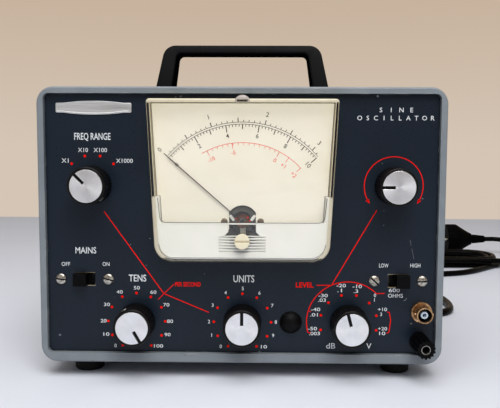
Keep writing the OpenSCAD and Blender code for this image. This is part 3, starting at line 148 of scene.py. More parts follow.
@dataclass(frozen=True)
class Finish:
    """A surface as it was made: its colours, its gloss, its grain and its wear."""

    name: str
    colour: str
    shade: str
    roughness: float
    drift_mm: float = 20.0
    grain_mm: float = 0.8
    grain_depth_mm: float = 0.01
    edge_mm: float = 0.0
    spread: float = 0.08
    metallic: float = 0.0
    ior: float = 1.5
    coat: float = 0.0
    coat_roughness: float = 0.1
    worn: str = ""
    wear_mm: float = 0.8
    wear_patch_mm: float = 6.0
    speck: str = ""
    speck_mm: float = 0.5
    speck_gap_mm: float = 9.0
    speck_share: float = 0.3
    stretch: Triple = (1.0, 1.0, 1.0)

    def material(self) -> Material:
        """Gives the finish's material, which is made once.

        Returns:
            The material.
        """
        made = bpy.data.materials.get(self.name)
        if made is None:
            made = bpy.data.materials.new(self.name)
            made.use_nodes = True
            made.node_tree.nodes.clear()
            surface = self.surface(made.node_tree)
            add_node(made.node_tree, "OutputMaterial", {"Surface": surface})
        return made

    def surface(self, tree: NodeTree) -> NodeSocket:
        """Builds the shader in a material's tree and gives its output."""
        return self.shader(tree).outputs["BSDF"]

    def shader(self, tree: NodeTree) -> Node:
        """Builds the Principled shader with its colour, roughness and relief.

        Args:
            tree: the material's node tree.

        Returns:
            The shader's node.
        """
        here = add_node(tree, "TexCoord").outputs["Object"]
        way = {"Vector": here, "Scale": self.stretch}
        stretched = add_node(tree, "Mapping", way).outputs["Vector"]
        fine = {"Vector": stretched, "Scale": 1000 / self.grain_mm, "Detail": 3.0}
        grain = add_node(tree, "TexNoise", fine).outputs["Fac"]
        low, high = max(self.roughness - self.spread, 0.02), min(self.roughness + self.spread, 1.0)
        gloss = {"Value": grain, **GRAIN_ENDS, "To Min": low, "To Max": high}
        relief = {"Height": grain, "Strength": 1.0, "Distance": self.grain_depth_mm * MM}
        if self.edge_mm:
            edge = {"Radius": self.edge_mm * MM}
            bevel = add_node(tree, "Bevel", edge, samples=BEVEL_SAMPLES)
            relief["Normal"] = bevel.outputs["Normal"]
        inputs = {
            "Base Color": self.tint(tree, here, stretched),
            "Metallic": self.metallic,
            "Roughness": add_node(tree, "MapRange", gloss).outputs["Result"],
            "Coat Weight": self.coat,
            "Coat Roughness": self.coat_roughness,
            "Normal": add_node(tree, "Bump", relief).outputs["Normal"],
        }
        if self.metallic < METAL_FROM:
            inputs["IOR"] = self.ior
        return add_node(tree, "BsdfPrincipled", inputs)

    def tint(self, tree: NodeTree, here: NodeSocket, stretched: NodeSocket) -> NodeSocket:
        """Builds the colour: two shades that drift, with specks and worn edges.

        Args:
            tree: the material's node tree.
            here: the place on the object.
            stretched: the place, stretched along the finish's own grain.

        Returns:
            The colour's output.
        """
        broad = {"Vector": stretched, "Scale": 1000 / self.drift_mm, "Detail": 4.0}
        drift = add_node(tree, "TexNoise", broad).outputs["Fac"]
        share = add_node(tree, "MapRange", {"Value": drift, **DRIFT_ENDS}).outputs["Result"]
        layers = [(share, self.shade)]
        if self.speck:
            gap = {"Vector": here, "Scale": 1000 / self.speck_gap_mm}
            cells = add_node(tree, "TexVoronoi", gap).outputs
            size = self.speck_mm / self.speck_gap_mm / 2
            near = {"Value": cells["Distance"], "From Min": size, "From Max": size * SPECK_CORE}
            spot = add_node(tree, "MapRange", near).outputs["Result"]
            chance = add_node(tree, "SeparateColor", {"Color": cells["Color"]}).outputs[0]
            rare = {0: chance, 1: self.speck_share}
            few = add_node(tree, "Math", rare, operation="LESS_THAN").outputs[0]
            seen = add_node(tree, "Math", {0: spot, 1: few}, operation="MULTIPLY").outputs[0]
            layers.append((seen, self.speck))
        if self.worn:
            edge = {"Radius": self.wear_mm * MM}
            soft = add_node(tree, "Bevel", edge, samples=BEVEL_SAMPLES).outputs["Normal"]
            flat = add_node(tree, "NewGeometry").outputs["Normal"]
            both = {0: soft, 1: flat}
            bend = add_node(tree, "VectorMath", both, operation="DOT_PRODUCT").outputs["Value"]
            sharp = add_node(tree, "MapRange", {"Value": bend, **BEND_ENDS}).outputs["Result"]
            torn = {"Vector": here, "Scale": 1000 / self.wear_patch_mm, "Detail": 5.0}
            patch = add_node(tree, "TexNoise", torn).outputs["Fac"]
            rubbed = add_node(tree, "MapRange", {"Value": patch, **RUBBED_ENDS}).outputs["Result"]
            seen = add_node(tree, "Math", {0: sharp, 1: rubbed}, operation="MULTIPLY").outputs[0]
            layers.append((seen, self.worn))
        colour = linear(self.colour)
        for share, over in layers:
            shades = {0: share, 6: colour, 7: linear(over)}
            colour = add_node(tree, "Mix", shades, data_type="RGBA").outputs[2]
        return colour


@dataclass(frozen=True)
class SpunMetal(Finish):
    """Metal turned on a lathe, whose fine rings draw highlights out from the middle."""

    middle: Point = (0.0, 0.0)
    ring_mm: float = 0.5
    ring_depth_mm: float = 0.002
    pull: float = 0.75

    def shader(self, tree: NodeTree) -> Node:
        """Adds the lathe's rings and their stretched highlight.

        Args:
            tree: the material's node tree.

        Returns:
            The shader's node.
        """
        shader = super().shader(tree)
        x, y = self.middle
        spot = add_node(tree, "NewGeometry").outputs["Position"]
        centre = {0: spot, 1: (x * MM, 0.0, (MID_Z + y) * MM)}
        out = add_node(tree, "VectorMath", centre, operation="SUBTRACT").outputs["Vector"]
        across = {0: out, 1: (1.0, 0.0, 1.0)}
        level = add_node(tree, "VectorMath", across, operation="MULTIPLY").outputs["Vector"]
        axis = {0: level, 1: (0.0, 1.0, 0.0)}
        around = add_node(tree, "VectorMath", axis, operation="CROSS_PRODUCT").outputs["Vector"]
        reach = add_node(tree, "VectorMath", {0: level}, operation="LENGTH").outputs["Value"]
        turns = {0: reach, 1: 2 * math.pi / (self.ring_mm * MM)}
        phase = add_node(tree, "Math", turns, operation="MULTIPLY").outputs[0]
        cut = {
            "Height": add_node(tree, "Math", {0: phase}, operation="SINE").outputs[0],
            "Strength": 1.0,
            "Distance": self.ring_depth_mm * MM,
            "Normal": shader.inputs["Normal"].links[0].from_socket,
        }
        tree.links.new(add_node(tree, "Bump", cut).outputs["Normal"], shader.inputs["Normal"])
        shader.inputs["Anisotropic"].default_value = self.pull
        tree.links.new(around, shader.inputs["Tangent"])
        return shader


@dataclass(frozen=True)
class ClearPlastic(Finish):
    """A clear moulding or glass, which lets light through to what lies behind it."""

    shadow: str = "#F2F2EC"
    clear: float = 1.0

    def surface(self, tree: NodeTree) -> NodeSocket:
        """Lets shadow rays through, so that what is behind stays lit.

        Args:
            tree: the material's node tree.

        Returns:
            The shader's output.
        """
        shader = self.shader(tree)
        shader.inputs["Transmission Weight"].default_value = self.clear
        passing = add_node(tree, "BsdfTransparent", {"Color": linear(self.shadow)})
        ray = add_node(tree, "LightPath").outputs["Is Shadow Ray"]
        both = {0: ray, 1: shader.outputs["BSDF"], 2: passing.outputs["BSDF"]}
        return add_node(tree, "MixShader", both).outputs[0]


# Each finish: name, two shades, roughness, and the sizes of its drift, of its grain and the grain's
# depth, and of its rounded edges

# Baked enamel on steel: satin, with faint orange peel, a few chips, and edges rubbed to the primer
CABINET_ENAMEL = Finish(
    "grey_baked_enamel", "#757C82", "#7F868B", 0.42, 14, 1.6, 0.012, ior=1.48, worn="#A6A8A6",
    wear_mm=0.9, speck="#4F4F4B", speck_mm=0.9, speck_gap_mm=7,
)
# The same enamel in dark blue, screen printed over: flat and deep, with tiny chips that show pale
PANEL_ENAMEL = Finish(
    "navy_baked_enamel", "#121B26", "#151F2B", 0.34, 60, 1.2, 0.006, 0.3, ior=1.3, worn="#9A9B98",
    wear_mm=0.5, speck="#8F969C", speck_mm=0.55, speck_gap_mm=7, speck_share=0.16,
)
# Compression moulded phenolic: nearly black, with a hard polish dulled by hands
KNOB_PHENOLIC = Finish(
    "moulded_phenolic", "#030303", "#060606", 0.36, 8, 0.6, 0.006, ior=1.28, worn="#242424",
    wear_mm=0.25, wear_patch_mm=2.0,
)
# Injection moulded ABS with a fine etched texture: dark and matt, a little lighter where rubbed
HANDLE_ABS = Finish(
    "textured_abs", "#090A0C", "#0D0E10", 0.55, 18, 0.7, 0.03, ior=1.18, worn="#232426",
    wear_mm=1.5, wear_patch_mm=9,
)
# The same texture inside the grip, where hands don't polish it: dull black, with no gloss, and
# darker than the outside as painted shade under the bar
SHADED_GRIP_INSIDE = Finish("dull_abs_painted_shade", "#060708", "#08090A", 0.9, 18, 0.7, 0.03, ior=1.0)
# Injection moulded ABS without texture: black, with a soft gloss on rounded edges
BLACK_ABS = Finish("moulded_black_abs", "#030304", "#060607", 0.34, 5, 0.6, 0.006, 0.35, ior=1.17)
# Moulded natural rubber: dead matt, greyed by dust
RUBBER = Finish("moulded_rubber", "#0C0C0C", "#141313", 0.78, 4, 0.5, 0.02, 0.6, ior=1.3)
# Injection moulded polystyrene: warm white, smooth and a little translucent looking
WHITE_STYRENE = Finish("white_polystyrene", "#DFDEDC", "#DBDAD6", 0.36, 25, 1.5, 0.004, 0.5)
# Matt lacquer on an aluminium dial, yellowed a little with age
DIAL_LACQUER = Finish("cream_dial_lacquer", "#E2DDD5", "#DFD9CE", 0.6, 30, 0.5, 0.004, 0.15)
# Cast acrylic: clear and glossy, and bright where its bent edges gather light
ACRYLIC = ClearPlastic(
    "clear_acrylic", "#FFFFFF", "#FCFDFB", 0.03, 20, 8, 0.0, spread=0.01, ior=1.49
)
# Acrylic edges, milky, though they let some light through: beside the mask they have cream behind
# them, and along the top the cream is painted reflection of the dial inside the acrylic
MILKY_EDGE = ClearPlastic(
    "milky_acrylic_edge", "#D9D0B8", "#CFC5AB", 0.16, 9, 3, 0.02, spread=0.03, ior=1.45, clear=0.12
)
# Thick end of the sprue on the cover: half clear, so it shows the dark panel as grey
SMOKY_TAB = ClearPlastic(
    "smoky_acrylic_tab", "#C4BCB6", "#A89F9A", 0.08, 3, 3, 0.03, spread=0.03, ior=1.49, clear=0.3
)
# Blown glass of the tubes, a touch grey
TUBE_GLASS = ClearPlastic(
    "blown_glass", "#F4F6F4", "#EEF2F0", 0.04, 20, 6, 0.0, spread=0.01, ior=1.5
)
# Urea moulding: ivory that has gone yellow
IVORY_UREA = Finish("ivory_urea", "#EFE6CB", "#EADFBE", 0.34, 4, 0.8, 0.004, 0.5)
# Nickel plate on brass screws: warm grey with cloudy tarnish and pits
NICKEL = Finish(
    "nickel_plate", "#D2CFC8", "#7C766B", 0.32, 1.1, 0.7, 0.012, 0.2, metallic=1.0, spread=0.14,
    speck="#4A4337", speck_mm=0.5, speck_gap_mm=1.7, speck_share=0.35,
)
# Zinc plated steel: dull and bluish, with faint rolling marks
STEEL = Finish(
    "zinc_plated_steel", "#B6B8B8", "#9C9E9D", 0.38, 12, 1.5, 0.006, 0.25, metallic=1.0,
    spread=0.12, stretch=(1.0, 0.15, 1.0),
)
# Turned brass, tarnished brown in spots
BRASS = Finish(
    "tarnished_brass", "#CBA57C", "#80603F", 0.34, 2.2, 0.6, 0.014, 0.25, metallic=1.0, spread=0.16,
    speck="#3A2412", speck_mm=0.8, speck_gap_mm=1.6, speck_share=0.5,
)
# Brass screws of the dial, gone brown and dull
BROWN_BRASS = Finish(
    "browned_brass", "#7E6C58", "#5C4E3F", 0.42, 1.4, 0.5, 0.02, 0.2, metallic=0.7, spread=0.12
)
# Bare cut edge of the switches' frames: pale brass
CUT_BRASS = Finish("cut_brass_edge", "#E6D6AC", "#BFA878", 0.4, 1.5, 0.4, metallic=0.3)
# Drawn aluminium of the capacitor's can: bright, with marks along its side
CAN_ALUMINIUM = Finish(
    "drawn_aluminium", "#C9CBCC", "#B4B7B8", 0.32, 10, 0.8, 0.004, 0.5, metallic=1.0,
    stretch=(1.0, 1.0, 0.1),
)
# Brushed aluminium of the bare badge: pale, with fine lines along it
BRUSHED_ALUMINIUM = Finish(
    "brushed_aluminium", "#E2E4E6", "#C6C9CB", 0.42, 3, 0.35, 0.006, 0.2, metallic=1.0, spread=0.1,
    stretch=(0.03, 1.0, 1.0),
)
# Varnished laminations, seen as dark stripes
LAMINATION = Finish(
    "varnished_laminations", "#3A332A", "#55493A", 0.42, 1.2, 0.8, 0.03, 0.5,
    stretch=(0.05, 1.0, 0.05),
)
# Cast alnico of the movement: grey, sandy and dull
ALNICO = Finish("cast_alnico", "#4B4B49", "#5C5B57", 0.5, 2, 0.5, 0.03, 0.4, metallic=0.6)
# Punched paper phenolic board: brown with a fine fibre
PAPER_PHENOLIC = Finish(
    "paper_phenolic", "#7E4D27", "#6B3F1E", 0.48, 6, 0.5, 0.01, 0.3, stretch=(1.0, 0.2, 1.0)
)
# Waxed bodies of the wired parts: brown, under a soft coat
WAXED_PARTS = Finish("waxed_components", "#A4672F", "#C48A4A", 0.4, 5, 1.0, 0.02, 0.6, coat=0.3)
# Painted needle: flat black lacquer
NEEDLE_LACQUER = Finish("black_needle_lacquer", "#0A0A09", "#100F0D", 0.55, 3, 0.4, 0.01, 0.1)
# Moulded dark lens: deep brown-black, its gloss gone dull
DARK_LENS = Finish("smoked_lens", "#030304", "#060607", 0.5, 5, 3.0, 0.004, ior=1.2)
# Turned fluoropolymer round the contact: bluish white and waxy
FLUOROPOLYMER = Finish("turned_fluoropolymer", "#CFDDEA", "#C2D2E2", 0.42, 2, 0.5, 0.006, 0.3)
# Extruded PVC: black with a soft shine and faint ripples along the lead
CORD_PVC = Finish("extruded_pvc", "#030303", "#060606", 0.28, 9, 2.5, 0.02, ior=1.12)
# The plug's moulding is the same PVC, but dull from handling
PLUG_PVC = Finish("moulded_pvc", "#040404", "#070707", 0.5, 9, 0.8, 0.01, ior=1.06)
# Screen printed inks of the panel: dense, with a slightly broken edge of gloss
WHITE_INK = Finish("white_screen_ink", "#E4E7E9", "#D2D6DA", 0.5, 3, 0.3, 0.003)
RED_INK = Finish("red_screen_ink", "#FA1603", "#F01202", 0.6, 4, 0.3, 0.003, ior=1.12)
# Printed inks of the dial: thin and matt
BLACK_INK = Finish("black_dial_ink", "#1A1812", "#25221A", 0.6, 2, 0.3, 0.002, ior=1.3)
SCARLET_INK = Finish("scarlet_dial_ink", "#E2503E", "#E86452", 0.6, 2, 0.3, 0.002)
# Painted shade in the narrow grooves of the mask, under its lip and along its rim: matt and brown
PAINTED_GROOVE_SHADE = Finish("rib_shade", "#2C2923", "#3A362F", 0.6, 2, 0.3, 0.002)
# Enamelled copper wire of the moving coil: dark brown and half bright
COPPER = Finish("enamelled_copper", "#5A3420", "#7A4626", 0.4, 1.0, 0.3, 0.01, metallic=0.5)
# Lacquer on the coil's leads: glossy red
RED_WIRE = Finish("red_lacquered_wire", "#C81F14", "#E0301F", 0.35, 1.0, 0.4)
# Oxide and old dirt in the screw slots, and painted shade in the terminals' barrel and bore and in
# the gaps round their contacts: dull and nearly black
OXIDE_AND_PAINTED_SHADE = Finish("dark_oxide_and_painted_shade", "#0A0908", "#14110E", 0.7, 1.0, 0.4, 0.01, ior=1.3)
# Enamel scraped down to the metal: grey, uneven and dull
SCRAPED_STEEL = Finish("scraped_steel", "#8C9196", "#5D646A", 0.45, 1.5, 0.4, metallic=0.4)


def panel_at(x: float, y: float, z: float = 0.0, turn: float = 0.0) -> Matrix:
    """Gives a frame on the panel, in millimetres, with its z towards the viewer.

    Args:
        x: place to the right.
        y: place upwards.
        z: height over the panel.
        turn: clockwise turn.

    Returns:
        The matrix from that frame to the scene.
    """
    base = Matrix((
        (MM, 0, 0, x * MM),
        (0, 0, -MM, (PANEL_Y - z) * MM),
        (0, MM, 0, (MID_Z + y) * MM),
        (0, 0, 0, 1),
    ))
    return base @ Matrix.Rotation(math.radians(-turn), 4, "Z")


def along(origin: Triple, way: Triple) -> Matrix:
    """Gives a frame in millimetres whose z runs from an origin along a way of the scene."""
    turn = Vector(way).to_track_quat("Z", "Y").to_matrix().to_4x4()
    return Matrix.Translation(Vector(origin) * MM) @ turn @ Matrix.Scale(MM, 4)


def polar(middle: Point, angle: float, radius: float) -> Point:
    """Gives the place at an angle and a distance from a centre."""
    turn = math.radians(angle)
    return middle[0] + radius * math.sin(turn), middle[1] + radius * math.cos(turn)


def raised(outline: Iterable[Point], z: float) -> list[Triple]:
    """Gives the points of an outline at one height."""
    return [(x, y, z) for x, y in outline]


def rounding(radius: float, steps: int) -> list[Point]:
    """Gives how far each step of a rounded edge lies inside its first and its second side."""
    turns = (math.pi / 2 * k / steps for k in range(steps + 1))
    return [(radius * (1 - math.cos(a)), radius * (1 - math.sin(a))) for a in turns]


def ribbed(first: Point, step: Point, rib: Points, count: int) -> list[Point]:
    """Gives the profile of a row of ribs, whose points are given from each rib's start."""
    starts = ((first[0] + k * step[0], first[1] + k * step[1]) for k in range(count))
    return [(radius + out, low + up) for radius, low in starts for out, up in rib]


def rounded(corners: Sequence[Point], radii: Sequence[float], steps: int) -> list[Point]:
    """Rounds the corners of an outline.

    Args:
        corners: the outline's corners, in order.
        radii: the radius at each corner, or 0 to leave it sharp.
        steps: steps along each rounded corner.

    Returns:
        The points of the rounded outline.
    """
    points: list[Point] = []
    for i, radius in enumerate(radii):
        here = Vector(corners[i])
        back = (Vector(corners[i - 1]) - here).normalized()
        ahead = (Vector(corners[(i + 1) % len(corners)]) - here).normalized()
        if not radius:
            points.append(tuple(here))
            continue
        half = back.angle(ahead) / 2
        centre = here + (back + ahead).normalized() * radius / math.sin(half)
        first, last = (here + way * radius / math.tan(half) - centre for way in (back, ahead))
        sweep = first.angle_signed(last)
        for k in range(steps + 1):
            points.append(tuple(centre + Matrix.Rotation(-sweep * k / steps, 2) @ first))
    return points


def inset(outline: Sequence[Point], distance: float) -> list[Point]:
    """Moves a clockwise outline inwards along its own normals.

    Args:
        outline: the points, in order.
        distance: how far each side moves.

    Returns:
        The moved points.
    """
    least_cosine = 0.3
    moved: list[Point] = []
    for i, point in enumerate(outline):
        here = Vector(point)
        before = (here - Vector(outline[i - 1])).normalized()
        after = (Vector(outline[(i + 1) % len(outline)]) - here).normalized()
        first, second = Vector((before.y, -before.x)), Vector((after.y, -after.x))
        middle = (first + second).normalized()
        moved.append(tuple(here + middle * distance / max(middle.dot(first), least_cosine)))
    return moved


class Form:
    """A mesh in the making, from points in millimetres."""

    def __init__(self) -> None:
        """Starts with an empty mesh."""
        self.mesh = bmesh.new()

    def loft(
        self,
        rings: Sequence[Sequence[Triple]],
        frame: Matrix,
        first: bool = False,
        last: bool = False,
    ) -> list[BMFace]:
        """Skins a row of closed rings.

        Args:
            rings: rings of as many points each.
            frame: the frame of the points.
            first: closes the first ring with a face.
            last: closes the last ring with a face.

        Returns:
            The faces between the rings.
        """
        rows = [[self.mesh.verts.new(frame @ Vector(p)) for p in ring] for ring in rings]
        count = len(rows[0])
        skin = []
        for low, high in zip(rows, rows[1:]):
            for i in range(count):
                j = (i + 1) % count
                skin.append(self.mesh.faces.new((low[i], low[j], high[j], high[i])))
        if first:
            self.mesh.faces.new(rows[0][::-1])
        if last:
            self.mesh.faces.new(rows[-1])
        return skin

    def lathe(
        self,
        profile: Sequence[Point],
        frame: Matrix,
        sides: int,
        ribs: Callable[[float, float], float] | None = None,
        closed: bool = True,
    ) -> None:
        """Turns a profile about its frame's z.

        Args:
            profile: radius and height of each ring.
            frame: the frame of the axis.
            sides: points round a ring.
            ribs: what is added to the radius at an angle, in radians, and a height.
            closed: closes both ends with a face.
        """
        rings = []
        for radius, height in profile:
            ring = []
            for k in range(sides):
                angle = 2 * math.pi * k / sides
                reach = radius + (ribs(angle, height) if ribs else 0.0)
                ring.append((reach * math.cos(angle), reach * math.sin(angle), height))
            rings.append(ring)
        self.loft(rings, frame, closed, closed)

    def flat(self, points: Sequence[Point], frame: Matrix) -> None:
        """Adds one flat face with an outline in a frame."""
        self.mesh.faces.new([self.mesh.verts.new(frame @ Vector(p).to_3d()) for p in points])

    def slot(self, frame: Matrix, width: float, floor: float) -> None:
        """Cuts a screwdriver slot along the frame's x into what stands over a floor.

        The slot's faces take the piece's second finish.

        Args:
            frame: the frame of the screw's head.
            width: the slot's width.
            floor: height of the slot's floor.
        """
        to_local, turn = frame.inverted(), frame.to_3x3()
        up, out = Vector((0, 1, 0)), Vector((0, 0, 1))
        for at, way in ((-up * width / 2, up), (up * width / 2, up), (out * floor, out)):
            geometry = self.mesh.verts[:] + self.mesh.edges[:] + self.mesh.faces[:]
            bmesh.ops.bisect_plane(
                self.mesh, geom=geometry, plane_co=frame @ at, plane_no=(turn @ way).normalized(),
                dist=CUT_GAP,
            )

        def inside(face: BMFace) -> bool:
            """Says whether a face lies over the slot."""
            spot = to_local @ face.calc_center_median()
            return abs(spot.y) < width / 2 and spot.z > floor

        faces = [f for f in self.mesh.faces if inside(f)]
        lowered = bmesh.ops.extrude_face_region(self.mesh, geom=faces)
        for vert in (v for v in lowered["geom"] if isinstance(v, BMVert)):
            spot = to_local @ vert.co
            vert.co = frame @ Vector((spot.x, spot.y, floor))
            for face in vert.link_faces:
                face.material_index = 1
        bmesh.ops.delete(self.mesh, geom=faces, context="FACES")
        bmesh.ops.remove_doubles(self.mesh, verts=self.mesh.verts[:], dist=CUT_GAP)

    def piece(
        self,
        name: str,
        finish: Finish,
        replaces: Iterable[str] = (),
        slot: str = "",
        sharp: float = 32.0,
        second: Finish | None = None,
        body: Body = Body.INSTRUMENT,
    ) -> Object:
        """Makes the object, puts it on its body, and hides the CAD nodes that it stands for.

        Args:
            name: the piece's name.
            finish: its finish.
            replaces: the CAD nodes that it stands for.
            slot: not used.
            sharp: the angle from which an edge stays sharp.
            second: the finish of the faces that are marked for it.
            body: the body that it rides on.

        Returns:
            The object.
        """
        bmesh.ops.recalc_face_normals(self.mesh, faces=self.mesh.faces[:])
        data = bpy.data.meshes.new(name)
        self.mesh.to_mesh(data)
        self.mesh.free()
        data.polygons.foreach_set("use_smooth", [True] * len(data.polygons))
        data.set_sharp_from_angle(angle=math.radians(sharp))
        for look in (finish, second) if second else (finish,):
            data.materials.append(look.material())
        return settle(bpy.data.objects.new(name, data), body, replaces)


def settle(made: Object, body: Body, replaces: Iterable[str] = ()) -> Object:
    """Puts a new piece into the scene and onto its body.

    Args:
        made: the new object.
        body: the body that it rides on.
        replaces: the CAD nodes that it stands for.

    Returns:
        The object.
    """
    bpy.context.scene.collection.objects.link(made)
    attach(made, body.value)
    if replaces:
        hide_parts(*replaces)
    LOG.info("piece %s rides on %s", made.name, body.value)
    return made


class Print:
    """Flat print of one ink, in the panel's frame."""

    def __init__(self, z: float) -> None:
        """Starts a layer at a height over the panel."""
        self.form = Form()
        self.frame = panel_at(0, 0, z)

    def stroke(self, points: Sequence[Point], width: float) -> None:
        """Draws a line of one width with mitred corners.

        Args:
            points: the line's points.
            width: the line's width.
        """
        least_cosine = 0.4
        left, right = [], []
        for i, point in enumerate(points):
            here = Vector(point)
            before = (here - Vector(points[i - 1])).normalized() if i else None
            after = (Vector(points[i + 1]) - here).normalized() if i + 1 < len(points) else None
            first, second = (Vector((-w.y, w.x)) for w in (before or after, after or before))
            side = (first + second).normalized()
            reach = width / 2 / max(side.dot(first), least_cosine)
            left.append(here + side * reach)
            right.append(here - side * reach)
        mesh = self.form.mesh
        one, two = ([mesh.verts.new(self.frame @ p.to_3d()) for p in row] for row in (left, right))
        for i in range(len(points) - 1):
            mesh.faces.new((one[i], two[i], two[i + 1], one[i + 1]))

    def arc(
        self, middle: Point, radius: float, start: float, end: float, width: float, steps: int
    ) -> None:
        """Draws an arc of a width from one angle to another, in a number of steps."""
        turns = (start + (end - start) * k / steps for k in range(steps + 1))
        self.stroke([polar(middle, a, radius) for a in turns], width)

    def spoke(self, middle: Point, angle: float, inner: float, outer: float, width: float) -> None:
        """Draws a tick of a width that points away from a centre, from one radius to another."""
        self.stroke([polar(middle, angle, radius) for radius in (inner, outer)], width)

    def dot(self, at: Point, size: float) -> None:
        """Draws a round dot of a diameter."""
        self.form.flat([polar(at, 90 - turn, size / 2) for turn in range(0, 360, 18)], self.frame)

    def word(
        self,
        text: str,
        at: Point,
        height: float,
        width: float = 0.0,
        turn: float = 0.0,
        bold: float = 0.006,
    ) -> None:
        """Sets a numeral or a short word.

        Args:
            text: the characters.
            at: the middle of the word.
            height: height of its characters.
            width: width of the word, or 0 to keep the font's own.
            turn: clockwise turn.
            bold: how much the strokes are thickened, as a share of the font's size.
        """
        curve = bpy.data.curves.new("lettering", "FONT")
        curve.body = text
        curve.offset = bold
        curve.resolution_u = 3
        holder = bpy.data.objects.new("lettering", curve)
        outline = holder.to_mesh()
        spots = [v.co.xy for v in outline.vertices]
        low, high = (Vector((f(s.x for s in spots), f(s.y for s in spots))) for f in (min, max))
        size, middle = high - low, (low + high) / 2
        tall = height / size.y
        wide = width / size.x if width else tall
        spin = Matrix.Rotation(math.radians(-turn), 4, "Z")
        scale = Matrix.Diagonal((wide, tall, 1, 1))
        place = self.frame @ Matrix.Translation((*at, 0)) @ spin @ scale
        verts = [self.form.mesh.verts.new(place @ (s - middle).to_3d()) for s in spots]
        for polygon in outline.polygons:
            self.form.mesh.faces.new([verts[i] for i in polygon.vertices])
        holder.to_mesh_clear()
        bpy.data.objects.remove(holder)
        bpy.data.curves.remove(curve)

    def piece(self, name: str, ink: Finish) -> None:
        """Makes the layer's object, with its faces towards the viewer.

        Args:
            name: the piece's name.
            ink: its finish.
        """
        made = self.form.piece(name, ink)
        if sum(p.normal.y * p.area for p in made.data.polygons) > 0:
            made.data.flip_normals()


def dress(frame: dict, finish: Finish, *nodes: str) -> None:
    """Gives CAD nodes a finish.

    Args:
        finish: the finish.
        nodes: the nodes' names.
    """
    for name in nodes:
        data = frame["nodes"][name].data
        data.materials.clear()
        data.materials.append(finish.material())
        LOG.info("node %s is %s", name, finish.name)


